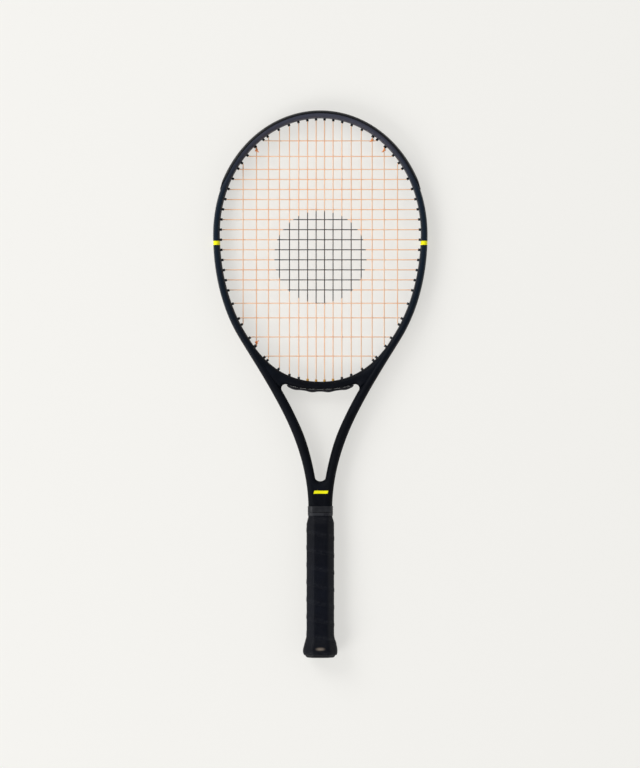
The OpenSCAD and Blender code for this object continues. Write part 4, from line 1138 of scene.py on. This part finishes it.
@dataclass
class StringBed:
    """One main string and one cross string, woven over and under, with their tie-off knots."""

    plan: StringPlan
    corner_r: float = 0.0009
    steps: int = 4
    sides: int = 8
    knot_turns: float = 2.0
    knot_h: float = 0.0023
    knot_points: int = 56
    knot_sides: int = 10
    knot_slim: float = 0.96
    loop_step: float = 0.004

    def hole(self, t: float, off: float = 0.0, z: float = 0.0) -> Array:
        """A string in a hole: its point outside in the groove, and the one at the barrel's inner tip."""
        p, depth = self.plan, self.plan.string_depth
        out = p.hoop_out(t)
        ends = np.stack([p.rim(p.hole_q(t, depth), depth)[0], p.hoop(t) - out * p.reach])
        return way(ends + turned(out) * off, z, 1.0)

    def loop(self, t1: float, t2: float, z: float) -> Array:
        """The way round the outside from one hole to the next, at height z."""
        p = self.plan
        q1, q2 = (float(p.hole_q(t, p.string_depth)[0]) for t in (t1, t2))
        lead = np.sign(q2 - q1) * p.loop_lead / p.tube_unit
        count = max(2, int(abs(q2 - q1) * p.tube_unit / self.loop_step))
        return way(p.rim(np.linspace(q1 + lead, q2 - lead, count), p.string_depth), z)

    def under_bridge(self, x: float) -> Array:
        """A point of a loop under the throat strip."""
        p = self.plan
        return way([x, float(p.throat_top(x)) - p.strip_t - 0.00025 - p.radius], 0.0, 1.0)

    def crossings(self, x: Array, y: Array, i: Array, j: Array, half: Side, over: float) -> Array:
        """The crossings that lie inside the hoop, each over or under by turns.

        One lies inside where (x/a)^2 + (y/b)^2 < 1, with a and b less the barrels' reach.

        Args:
            x: the mains' distances from the middle.
            y: the crosses' heights.
            i: the mains' numbers.
            j: the crosses' numbers.
            half: the side of the racket.
            over: 1 for the main string, -1 for the cross string.

        Returns:
            Rows of (x, y, z, 0), drawn on the right.
        """
        p, up = self.plan, y - self.plan.wide_y
        b = np.where(up > 0.0, p.crown, p.skirt) - p.reach
        z = np.where((i + (half is Side.RIGHT) + j) % 2 == 0, over * p.weave, -over * p.weave)
        return way(pair(x, y), z)[(x / (p.half_w - p.reach)) ** 2 + (up / b) ** 2 < 1.0]

    def main_pass(self, i: int, half: Side) -> Array:
        """One main string from its top hole to its bottom hole, drawn on the right."""
        p, x, y = self.plan, float(self.plan.main_x(i)), self.plan.cross_y()
        beside_tie, shares_hole = i == p.tie_main, i == p.start_main and half is Side.RIGHT
        top = self.hole(p.main_t(True)[i - 1], p.twin * beside_tie, p.twin * shares_hole)
        bed = self.crossings(np.full(len(y), x), y, i, np.arange(1, len(y) + 1), half, 1.0)
        if i <= p.bridge_mains:
            end = [way([x, float(p.bridge_top(x)) + p.reach], 0.0, 1.0), self.under_bridge(x)]
        else:
            end = [self.hole(p.main_t(False)[i - 1], p.twin * (beside_tie and half is Side.LEFT))[::-1]]
        return np.concatenate([top, bed, *end])

    def main_half(self, half: Side) -> Array:
        """From the tip's middle down the first main, to and fro, and back to the tie-off at the side."""
        p, top, low = self.plan, self.plan.main_t(True), self.plan.main_t(False)
        parts = [way(p.rim(0.0, p.string_depth))]
        for i in range(1, p.side_mains + 1):
            string = self.main_pass(i, half)
            if i % 2 == 0:
                parts.append(string[::-1])
                if i < p.side_mains:
                    parts.append(self.loop(top[i - 1], top[i], p.side_step * (i == p.start_main)))
            elif i < p.bridge_mains:
                parts += [string, self.under_bridge(float(p.main_x(i) + p.main_x(i + 1)) / 2)]
            else:
                parts += [string, self.loop(low[i - 1], low[i], p.side_step * (i == p.tie_main))]
        tie = top[p.tie_main - 1]
        parts += [self.loop(top[-1], tie, p.side_step), self.hole(tie, -p.twin)]
        return np.concatenate(parts) * np.array([half.value, 1.0, 1.0, 1.0])

    def cross_way(self) -> Array:
        """The cross string, from its first tie at the top to its last one beside the throat."""
        p, side, low = self.plan, self.plan.side_t(), self.plan.main_t(False)[self.plan.tie_main - 1]
        first, mirror = p.main_t(True)[p.start_main - 1], np.array([-1.0, 1.0, 1.0, 1.0])
        parts = [self.hole(first, 0.0, -p.twin)[::-1], self.loop(first, side[0], -p.side_step)]
        i = np.arange(p.side_mains, 0, -1)
        for j, (t, y) in enumerate(zip(side, p.cross_y()), 1):
            x, level = p.main_x(i), np.full(len(i), y)
            left, right = (self.crossings(x, level, i, j, half, -1.0) for half in Side)
            string = np.concatenate([self.hole(t), right, left[::-1] * mirror, self.hole(t)[::-1] * mirror])
            parts.append(string if j % 2 == 1 else string[::-1])
            if j < len(side):
                parts.append(self.loop(t, side[j], -p.side_step) * (mirror if j % 2 == 1 else 1.0))
        last = [self.loop(side[-1], low, 0.0), self.hole(low, -p.twin)]
        return np.concatenate([*parts, *(part * mirror for part in last)])

    def laid(self, rows: Array) -> Array:
        """Rounds the marked corners and weaves the rest.

        A corner becomes three points: one before it, one after it, and a quarter of each plus half of itself.
        Between two points the line is straight in plan, and its height goes by a smooth step, so it is level
        where strings cross.

        Args:
            rows: rows of (x, y, z, corner).

        Returns:
            The string's middle line, points x 3.
        """
        p = rows[:, :3]
        ahead, behind = np.vstack([p[1:], p[-1:]]), np.vstack([p[:1], p[:-1]])
        leg = np.minimum(np.linalg.norm(ahead - p, axis=1), np.linalg.norm(p - behind, axis=1))
        r = np.where(rows[:, 3] > 0.5, np.minimum(self.corner_r, 0.4 * leg), 0.0)[:, None]
        before, after = p - unit(p - behind) * r, p + unit(ahead - p) * r
        points = np.stack([before, (before + 2 * p + after) / 4, after], axis=1).reshape(-1, 3)
        apart = np.linalg.norm(np.diff(points, axis=0), axis=1) > 1e-6
        points = points[np.concatenate([[True], apart])]
        k = np.arange(self.steps)[None, :, None] / self.steps
        a, b = points[:-1, None], points[1:, None]
        laid = mix(a, b, k)
        laid[..., 2] = mix(a, b, ease(k))[..., 2]
        return np.concatenate([laid.reshape(-1, 3), points[-1:]])

    def knot(self, t: float, half: Side, down: float, z: float = 0.0, start_z: float = 0.0) -> Array:
        """A double hitch: from the tie hole, two turns round the neighbouring string, and a short cut tail.

        Args:
            t: the hole's angle.
            half: the side of the racket.
            down: 1 for a hole at the top and -1 for one at the bottom.
            z: height of the string that the knot holds.
            start_z: height of the string's end in the hole.

        Returns:
            The knot's line, points x 3.
        """
        p, out, mirror = self.plan, self.plan.hoop_out(t), np.array([half.value, 1.0])
        tip = (p.hoop(t) - out * p.reach) * mirror
        start = with_height((tip - turned(out) * mirror * p.twin * (not start_z))[None], start_z)
        a = np.linspace(0.0, self.knot_turns * TURN, self.knot_points)
        rise = np.linspace(0.0, self.knot_h, self.knot_points)
        coil_r, drop = p.radius * 2.05, abs(out[0]) * 0.002 + 0.0004
        x, y = tip[0] + coil_r * np.sin(a), tip[1] - down * (drop + rise)
        coil = np.column_stack([x, y, z + coil_r * np.cos(a)])
        cut = np.array([0.0030 * -half.value, -down * 0.0012, 0.0006])
        path = np.concatenate([start, coil, coil[-1] + np.linspace(0.15, 1.0, 5)[:, None] * cut])
        for _ in range(2):
            corners = np.stack([mix(path[:-1], path[1:], 0.25), mix(path[:-1], path[1:], 0.75)], axis=1)
            path = np.concatenate([path[:1], corners.reshape(-1, 3), path[-1:]])
        return path

    def string(self, name: str, rows: Array, node: str) -> Piece:
        """Makes one string from its way."""
        path = self.laid(rows)
        at = path_length(path)
        log.info("%s is %.2f m long", name, at[-1])
        shape = Shape(name).shell(sweep(path, self.plan.radius, self.sides), rows_at=at)
        return shape.piece(StringFinish(), "string", node, crease=70.0)

    def knots(self, name: str, paths: list[Array], node: str) -> Piece:
        """Makes a string's knots, with rings square to a slanted line that no turn of the coil runs along."""
        shape, slanted = Shape(name), (0.25, 0.9, 0.35)
        for path in paths:
            rings = sweep(path, self.plan.radius * self.knot_slim, self.knot_sides, slanted)
            shape.shell(rings, rows_at=path_length(path))
        finish = StringFinish("knot", (0.86, 0.20, 0.03), (0.90, 0.34, 0.09))
        return shape.piece(finish, "string", node, crease=70.0)

    def build(self) -> list[Piece]:
        """Makes both strings and all four knots."""
        p, left, right = self.plan, self.main_half(Side.LEFT), self.main_half(Side.RIGHT)
        tie, start = p.main_t(True)[[p.tie_main - 1, p.start_main - 1]]
        low = p.main_t(False)[p.tie_main - 1]
        main_knots = [self.knot(tie, half, 1.0) for half in Side]
        cross_knots = [self.knot(start, Side.RIGHT, 1.0, p.twin, -p.twin), self.knot(low, Side.LEFT, -1.0)]
        return [
            self.string("woven_mains", np.concatenate([left[:0:-1], right]), "main_string"),
            self.string("woven_crosses", self.cross_way(), "cross_string"),
            self.knots("main_hitches", main_knots, "main_knots"),
            self.knots("cross_hitches", cross_knots, "cross_knots")]


# Handle
# ------


def polygon(theta: Array, sides: tuple[Number, ...], soft: float) -> Array:
    """Radius of a rounded polygon: the p-norm of its sides, (sum of (cos(theta - side) / h)^p)^(-1/p).

    Args:
        theta: angles from the x axis, in radians.
        sides: each side's distance from the middle, at even angles from the x axis on.
        soft: the power p; a lower one rounds the corners more.

    Returns:
        The radius at each angle.
    """
    shares = (np.cos(theta - k * TURN / len(sides)) / h for k, h in enumerate(sides))
    return sum(np.maximum(0.0, share) ** soft for share in shares) ** (-1.0 / soft)


def octagon(theta: Array, half: tuple[Number, Number, Number], grow: Number, soft: float = 34.0) -> Array:
    """A rounded octagon from the half sizes of its flanks, faces and bevels, all moved out by grow."""
    flank, face, bevel = (np.asarray(h, float) + grow for h in half)
    return polygon(theta, (flank, bevel, face, bevel) * 2, soft)


def rectangle(theta: Array, w: float, d: float) -> Array:
    """A rectangle with rounded corners."""
    return polygon(theta, (w / 2, d / 2) * 2, 40.0)


def ring(theta: Array, r: Array, y: Number, x: float = 0.0) -> Array:
    """Points at angle theta and distance r round an axis along y, at height y."""
    return np.stack(np.broadcast_arrays(x + r * np.cos(theta), y, r * np.sin(theta)), axis=-1)


def bevelled(w: Number, d: Number, cut: Number) -> tuple[Number, Number, Number]:
    """Half sizes of an octagon of width w and depth d, whose corners are cut back by that much."""
    return w / 2, d / 2, (w / 2 + d / 2 - cut) / np.sqrt(2.0)


@dataclass
class Handle:
    """The wrapped handle: base grip, spiral overgrip, tape, rubber collar, butt cap and trap door."""

    plan: StringPlan
    pallet_w: float = 0.0294
    pallet_d: float = 0.0262
    bevel: float = 0.0067
    pallet_top: float = 0.1675
    neck_h: float = 0.0175
    neck_dip: float = 0.0008
    neck_bevel: float = 0.0037
    flare_w: float = 0.038
    flare_d: float = 0.034
    cone_y: float = 0.008
    cone_h: float = 0.022
    fit: float = 0.0001
    base_t: float = 0.00175
    base_end_t: float = 0.0005
    base_end_y: float = 0.1742
    wrap_low: float = 0.003
    roll_h: float = 0.0058
    wrap_top: float = 0.1814
    girth: float = 0.105
    strip_w: float = 0.0268
    strip_pitch: float = 0.0216
    strip_t: float = 0.00052
    strip_edge: float = 0.0007
    strip_columns: int = 27
    rows_a_turn: int = 104
    first_turn: float = 2.2
    lap_lift: float = 0.00042
    pillow: float = 0.00014
    tape_h: float = 0.0036
    tape_lift: float = 0.00078
    tape_t: float = 0.00026
    tape_bulge: float = 0.00008
    collar_h: float = 0.008
    collar_top: float = 0.1896
    collar_t: float = 0.0007
    ribs: int = 3
    cap_length: float = 0.034
    cap_floor: float = 0.0024
    skirt_t: float = 0.0014
    door_w: float = 0.021
    door_d: float = 0.016
    door_t: float = 0.0013
    door_leg: float = 0.007
    leg_t: float = 0.0012
    ledge: float = 0.0015
    door_fit: float = 0.00015

    def halves(self, y: Number) -> tuple[Number, Number, Number]:
        """The bare handle's half sizes at height y: flare into pallet, and neck into shaft."""
        up = np.clip((y - self.pallet_top) / self.neck_h, 0.0, 1.0)
        k = 1.0 - ease((y - self.cone_y) / self.cone_h)
        w, d = mix(self.pallet_w, self.flare_w, k), mix(self.pallet_d, self.flare_d, k)
        c = self.bevel * w / self.pallet_w
        neck_w = mix(self.pallet_w, self.plan.shaft_w + 2 * self.fit, up) - self.neck_dip * 4 * up * (1 - up)
        neck_d = mix(self.pallet_d, self.plan.shaft_beam + 2 * self.fit, up)
        necked = ((neck_w, w), (neck_d, d), (mix(self.bevel, self.neck_bevel, up), c))
        return bevelled(*(np.where(up > 0, neck, below) for neck, below in necked))

    def base_grip_t(self, y: Array) -> Array:
        """Thickness of the cushioned base grip, which tapers out over the neck."""
        steps = [self.pallet_top, self.base_end_y, self.base_end_y + 0.0014]
        return np.interp(y, steps, [self.base_t + self.fit, self.base_end_t + self.fit, 0.0])

    def roll(self, y: Array) -> Array:
        """Share of their thickness that the wraps keep where they roll over the flare's end."""
        return mix(0.12, 1.0, rounded((y - self.wrap_low) / self.roll_h))

    def sleeve(self, y: Array, inner: Array, outer: Array, columns: int = 96, soft: float = 34.0,
               half: tuple[Number, Number, Number] | None = None) -> Array:
        """A closed sleeve: up the outside by the growths outer, over the edge, and down the inside by inner.

        Args:
            y: heights of its rings.
            inner: how far the inside stands off the handle at each height.
            outer: the same for the outside.
            columns: points on each ring.
            soft: how sharp the corners are.
            half: the half sizes that it stands on, where they aren't the handle's.

        Returns:
            The rings, twice the heights x columns x 3.
        """
        theta = circle(columns)[None, :]
        rows, grow = (np.concatenate([up, down[::-1]])[:, None] for up, down in ((y, y), (outer, inner)))
        return ring(theta, octagon(theta, half or self.halves(rows), grow, soft), rows)

    def base_grip(self) -> Piece:
        """The cushioned grip under the overgrip; its lower edge shows at the butt."""
        rolled = self.wrap_low + self.roll_h * np.linspace(0.0, 1.0, 12) ** 2
        y = np.concatenate([rolled, np.linspace(rolled[-1], self.base_end_y, 58)[1:]])
        cushion = np.interp(y, [self.pallet_top, self.base_end_y], [self.base_t, self.base_end_t])
        sleeve = self.sleeve(y, np.full(len(y), self.fit), self.fit + self.roll(y) * cushion)
        finish = Rubber("base grip", (0.014, 0.015, 0.018), roughness=0.6)
        obj = Shape("cushioned_grip").shell(sleeve, joined=True).piece(finish, "base_grip", "base_grip")
        return obj

    def overgrip(self) -> Piece:
        """The overgrip: one strip wound up the handle, each turn lapped over the one before.

        Row s is the number of turns: the angle is 2 pi s and the strip climbs one pitch a turn. Across the
        strip its height over the base grip is the lap's lift where the turn before lies under it, eased down
        over 2 mm, plus the strip's thickness, rounded at both edges. Both ends are cut off level.
        """
        width, pitch = self.strip_w, self.strip_pitch
        first = self.wrap_low + 0.005 - width
        turns = (self.wrap_top - 0.004 - first) / pitch
        s = np.linspace(0.0, turns, int(turns * self.rows_a_turn))[:, None]
        start = first + pitch * s
        low, high = np.maximum(self.wrap_low, start), np.minimum(self.wrap_top, start + width)
        across = np.linspace(0.0, 1.0, self.strip_columns)
        y = mix(low, high, (1.0 - np.cos(np.pi * across))[None, :] / 2)
        thick = self.strip_t * rounded(np.minimum(y - low, high - y) / self.strip_edge, 0.10)
        before = np.minimum(start - pitch + width, self.wrap_top)
        lapped = ease((before - y + 0.0004) / 0.0022) * (1.0 - 0.6 * ease((y - 0.166) / 0.008))
        lift = self.lap_lift * lapped * np.where(s > 0.6, 1.0, ease(s / 0.6))
        pillow = self.pillow * np.sin(np.pi * np.clip((y - start) / width, 0.0, 1.0))
        pillow = pillow * (1.0 - ease((y - 0.165) / 0.008))
        theta, half = TURN * s + self.first_turn, self.halves(y)
        under = self.fit + self.roll(y) * (self.base_grip_t(y) + lift)
        top = ring(theta, octagon(theta, half, under + pillow + thick, 26.0), y)
        bottom = ring(theta, octagon(theta, half, under, 30.0), y)
        along = s[:, 0] * self.girth
        shape = Shape("wound_overgrip").shell(np.concatenate([top, bottom[:, ::-1]], axis=1), rows_at=along,
                                              cols_at=np.concatenate([across, across[::-1], [0.0]]))
        obj = shape.piece(TackyGrip(), "overgrip", "overgrip", crease=60.0)
        return obj

    def tape(self) -> Piece:
        """The finishing tape: one turn and a lap over the overgrip's last turn."""
        k = np.linspace(0.0, 1.0, 14)
        y = self.wrap_top - self.tape_h * (1.0 - k)
        bulge = self.tape_bulge * np.sqrt(np.abs(np.sin(np.pi * k)))
        sleeve = self.sleeve(y, 0.0 * k + self.tape_lift, self.tape_lift + self.tape_t + bulge)
        finish = Rubber("tape", (0.016, 0.017, 0.021), (0.05, 0.052, 0.06), 0.30, 0.000012)
        return Shape("finishing_tape_band").shell(sleeve, joined=True).piece(finish, "tape", "finishing_tape")

    def collar(self) -> Piece:
        """The rubber collar: a stretched sleeve with three round ribs, thinner at both edges."""
        at = np.array(2.0 - (self.collar_top - self.plan.top_y) / (3 * self.plan.arm_settle))
        w, d = 2 * float(self.plan.rim(at, 0.0)[0]) + 4 * self.fit, float(self.plan.beam(at)) + 2 * self.fit
        k = np.linspace(0.0, 1.0, 50)
        ribs, edge = 0.5 - 0.5 * np.cos(TURN * self.ribs * k), rounded(np.minimum(k, 1.0 - k) / 0.05)
        outer = self.collar_t * (0.25 + 0.35 * edge + 0.40 * ribs**1.5 * edge)
        y = self.collar_top - self.collar_h * (1.0 - k)
        sleeve = self.sleeve(y, 0.0 * k, outer, 112, 24.0, bevelled(w, d, self.neck_bevel))
        finish = Rubber("collar", (0.009, 0.010, 0.013), (0.03, 0.032, 0.037), 0.34)
        return Shape("ribbed_collar").shell(sleeve, joined=True).piece(finish, "collar", "rubber_collar")

    def cap(self) -> Piece:
        """The butt cap: flared outside, round edge, flat end, recess and ledge for the door, and hollow."""
        theta = circle(120)
        edge = [(0.0045, 0.0), (0.003, -0.00012), (0.0020, -0.0005), (0.0012, -0.0010), (0.0005, -0.0017),
                (0.00015, -0.0022), (0.0, -0.0027)]
        outside = [(y, 0.0) for y in np.linspace(self.cap_length, self.cone_y, 12)] + edge
        rows = [(y, octagon(theta, self.halves(y), grow)) for y, grow in outside]
        full, step = rectangle(theta, self.door_w, self.door_d), self.door_t + self.fit
        small = rectangle(theta, self.door_w - 2 * self.ledge, self.door_d - 2 * self.ledge)
        hollow = octagon(theta, bevelled(self.pallet_w, self.pallet_d, self.bevel), -self.skirt_t)
        rows += [(0.0, full + 0.0012), (0.00008, full + 0.0003), (0.0003, full), (step, full), (step, small),
                 (self.cap_floor, small), (self.cap_floor, hollow), (self.cap_length, hollow)]
        shape = Shape("flared_cap").shell(np.stack([ring(theta, r, y) for y, r in rows]), joined=True)
        finish = MouldedPlastic("cap plastic", (0.004, 0.0044, 0.006), (0.016, 0.017, 0.021), 0.38,
                                specular=0.2)
        return shape.piece(finish, "cap_plastic", "butt_cap")

    def trap_door(self) -> Piece:
        """The trap door: a bevelled plate with a shallow plain dish, and two springy legs behind it."""
        theta, t, bare = circle(96), self.door_t, 2 * self.door_fit
        w, d = self.door_w - bare, self.door_d - bare
        plate = [(t, -0.0002), (t - 0.0002, 0.0), (0.0003, 0.0), (0.00008, -0.0001), (0.0, -0.0003),
                 (0.0, -0.0022), (0.00012, -0.0025), (0.00042, -0.0031), (0.00050, -0.0044)]
        leg = [(0.0, 0.00012), (0.30, 0.0), (0.60, 0.0), (0.75, 0.00008), (0.90, 0.0), (1.0, -0.0003)]
        leg_d, leg_x = d - 2 * self.ledge - 0.002, (w - self.leg_t) / 2 - self.ledge
        shape = Shape("trap_door_plate")
        shape.shell(np.stack([ring(theta, rectangle(theta, w + 2 * g, d + 2 * g), y) for y, g in plate]))
        for half in Side:
            shape.shell(np.stack([
                ring(theta, rectangle(theta, self.leg_t + 2 * g, leg_d + 2 * min(0.0, g)),
                     mix(t - 0.0001, t + self.door_leg, k), half.value * leg_x) for k, g in leg]))
        finish = MouldedPlastic("door plastic", (0.016, 0.017, 0.021), (0.045, 0.046, 0.052), 0.30)
        return shape.piece(finish, "door_plastic", "trap_door", body=Body.TRAP_DOOR)

    def build(self) -> list[Piece]:
        """Makes the handle's pieces, from the inside out."""
        return [self.base_grip(), self.overgrip(), self.tape(), self.collar(), self.cap(), self.trap_door()]


@dataclass
class HiddenParts:
    """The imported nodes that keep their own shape: the pallet's halves, the staples and the tack."""

    finishes: dict[str, Finish] = field(default_factory=lambda: {
        "pallet_front": PalletFoam(), "pallet_back": PalletFoam(),
        "cap_staples": StapleSteel(), "grip_tack": StapleSteel()})

    def dress(self, nodes: Nodes) -> None:
        """Gives each node its material."""
        for name, finish in self.finishes.items():
            obj = nodes[name]
            if not obj.material_slots:
                obj.data.materials.append(finish.material())
            for slot in obj.material_slots:
                slot.material = finish.material()
            log.info("%s keeps its shape and gets %s", name, finish.name)


# Studio
# ------


@dataclass
class Studio:
    """A pale floor under the racket, two softboxes on the left, a soft sky, and a camera straight above."""

    backdrop: Colour = (0.905, 0.896, 0.863)
    centre: Span = (-0.0004, 0.3427)
    view_height: float = 0.9634
    distance: float = 5.0
    sensor: float = 36.0
    sky: float = 0.60
    flag_z: Span = (0.72, 0.97)
    flag_share: float = 0.08
    key_power: float = 130.0
    key_place: Colour = (-3.0, 2.9, 3.4)
    key_size: float = 2.8
    floor_x: Span = (-3.0, 3.0)
    floor_y: Span = (-2.7, 3.3)
    floor_gap: float = 0.0004
    floor_share: float = 0.36
    hoop_from: float = 0.3

    def resting_plane(self, nodes: Nodes) -> tuple[float, float, float]:
        """The plane that the racket rests on: through the flare's lowest point and touching the hoop's back.

        Args:
            nodes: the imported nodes.

        Returns:
            The flare point's y and z, and the plane's slope along y.
        """
        points = []
        for name in ("frame", "bumper_guard", "overgrip"):
            vertices = nodes[name].data.vertices
            co = np.empty(len(vertices) * 3)
            vertices.foreach_get("co", co)
            points.append(co.reshape(-1, 3)[:, 1:])
        p = np.concatenate(points)
        foot, far = p[p[:, 1].argmin()], p[p[:, 0] > self.hoop_from]
        return float(foot[0]), float(foot[1]), float(((far[:, 1] - foot[1]) / (far[:, 0] - foot[0])).min())

    def floor(self, nodes: Nodes) -> Piece:
        """The floor: a square sheet in the plane z = z0 + slope (y - y0)."""
        y0, z0, slope = self.resting_plane(nodes)
        (x1, x2), (y1, y2) = self.floor_x, self.floor_y
        plan = ((x1, y1), (x2, y1), (x2, y2), (x1, y2))
        corners = [(x, y, z0 - self.floor_gap + slope * (y - y0)) for x, y in plan]
        mesh = bpy.data.meshes.new("floor")
        mesh.from_pydata(corners, [], [(0, 1, 2, 3)])
        mesh.materials.append(self.floor_material())
        obj = linked("floor", mesh)
        return obj

    def split(self, tree: bpy.types.NodeTree, lit: bpy.types.Node, seen: bpy.types.Node, end: str,
              operation: str) -> tuple[Socket, Socket]:
        """Mixes what lights the scene with what the camera sees, and plugs it into the tree's output.

        Args:
            tree: the node tree.
            lit: what the light meets.
            seen: what the camera sees, which gets the backdrop's colour.
            end: the kind of the output node.
            operation: the arithmetic on the camera's rays that gives the share.

        Returns:
            The output that tells transmitted rays, and the arithmetic's second input, for the caller to fill.
        """
        kinds = ("LightPath", "Math", "MixShader", end)
        path, share, both, out = (tree.nodes.new(f"ShaderNode{kind}") for kind in kinds)
        share.operation = operation
        seen.inputs["Color"].default_value = (*self.backdrop, 1.0)
        tree.links.new(path.outputs["Is Camera Ray"], share.inputs[0])
        for slot, source in enumerate((share, lit, seen)):
            tree.links.new(source.outputs[0], both.inputs[slot])
        tree.links.new(both.outputs[0], out.inputs["Surface"])
        return path.outputs["Is Transmission Ray"], share.inputs[1]

    def floor_material(self) -> Material:
        """Matt paper that catches the shadow; part of what the camera sees is its plain colour."""
        mat = bpy.data.materials.new("floor paper")
        mat.use_nodes = True
        tree = mat.node_tree
        tree.nodes.clear()
        paper, plain = (tree.nodes.new(f"ShaderNode{kind}") for kind in ("BsdfDiffuse", "Emission"))
        paper.inputs["Color"].default_value = (*self.backdrop, 1.0)
        _, factor = self.split(tree, paper, plain, "OutputMaterial", "MULTIPLY")
        factor.default_value = 1.0 - self.floor_share
        return mat

    def world(self) -> None:
        """A soft sky for light, dimmer overhead as under a flag; the camera sees the backdrop's colour."""
        world = bpy.data.worlds.new("studio")
        bpy.context.scene.world = world
        world.use_nodes = True
        tree = world.node_tree
        tree.nodes.clear()
        kinds = ("Background", "Background", "TexCoord", "SeparateXYZ", "MapRange")
        light, seen, coords, parts, flag = (tree.nodes.new(f"ShaderNode{kind}") for kind in kinds)
        light.inputs["Color"].default_value = (1.0, 1.0, 1.0, 1.0)
        flag.interpolation_type = "SMOOTHSTEP"
        values = (*self.flag_z, self.sky, self.sky * self.flag_share)
        for socket, value in zip(list(flag.inputs)[1:5], values):
            socket.default_value = value
        tree.links.new(coords.outputs["Generated"], parts.inputs[0])
        tree.links.new(parts.outputs["Z"], flag.inputs["Value"])
        tree.links.new(flag.outputs["Result"], light.inputs["Strength"])
        tree.links.new(*self.split(tree, light, seen, "OutputWorld", "MAXIMUM"))

    def lamp(self, name: str, up: float) -> None:
        """A square softbox on the left, up or down from the racket's middle and turned to it."""
        data = bpy.data.lights.new(name, "AREA")
        data.energy, data.size = self.key_power, self.key_size
        obj = linked(name, data)
        obj.location = (self.key_place[0], self.centre[1] + up * self.key_place[1], self.key_place[2])
        aim = np.array([*self.centre, 0.0]) - np.array(obj.location)
        tilt, turn = np.arctan2(np.hypot(aim[0], aim[1]), -aim[2]), np.arctan2(aim[1], aim[0]) - np.pi / 2
        obj.rotation_euler = (float(tilt), 0.0, float(turn))

    def camera(self) -> None:
        """A long lens straight above the racket, with the tip at the top."""
        data = bpy.data.cameras.new("camera")
        data.sensor_width = self.sensor
        data.lens = self.sensor * self.distance / self.view_height
        data.clip_end = 10.0 * self.distance
        obj = linked("camera", data)
        obj.location = (*self.centre, self.distance)
        bpy.context.scene.camera = obj

    def build(self, nodes: Nodes) -> None:
        """Sets up the floor, the light and the camera."""
        bpy.context.scene.view_settings.view_transform = "Standard"
        self.world()
        self.floor(nodes)
        self.lamp("upper softbox", 1.0)
        self.lamp("lower softbox", -1.0)
        self.camera()


def plain(box: tuple) -> list[list[float]]:
    """A box's two corners as lists of numbers."""
    return [[float(v) for v in corner] for corner in box]


def main() -> None:
    """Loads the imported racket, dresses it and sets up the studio."""
    logging.basicConfig(level=logging.INFO, format="%(name)s: %(message)s")
    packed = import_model()
    plan = StringPlan()
    Studio().build(packed["nodes"])
    for maker in (Frame, Grommets, StringBed, Handle):
        maker(plan).build()
    HiddenParts().dress(packed["nodes"])


if __name__ == "__main__":
    main()
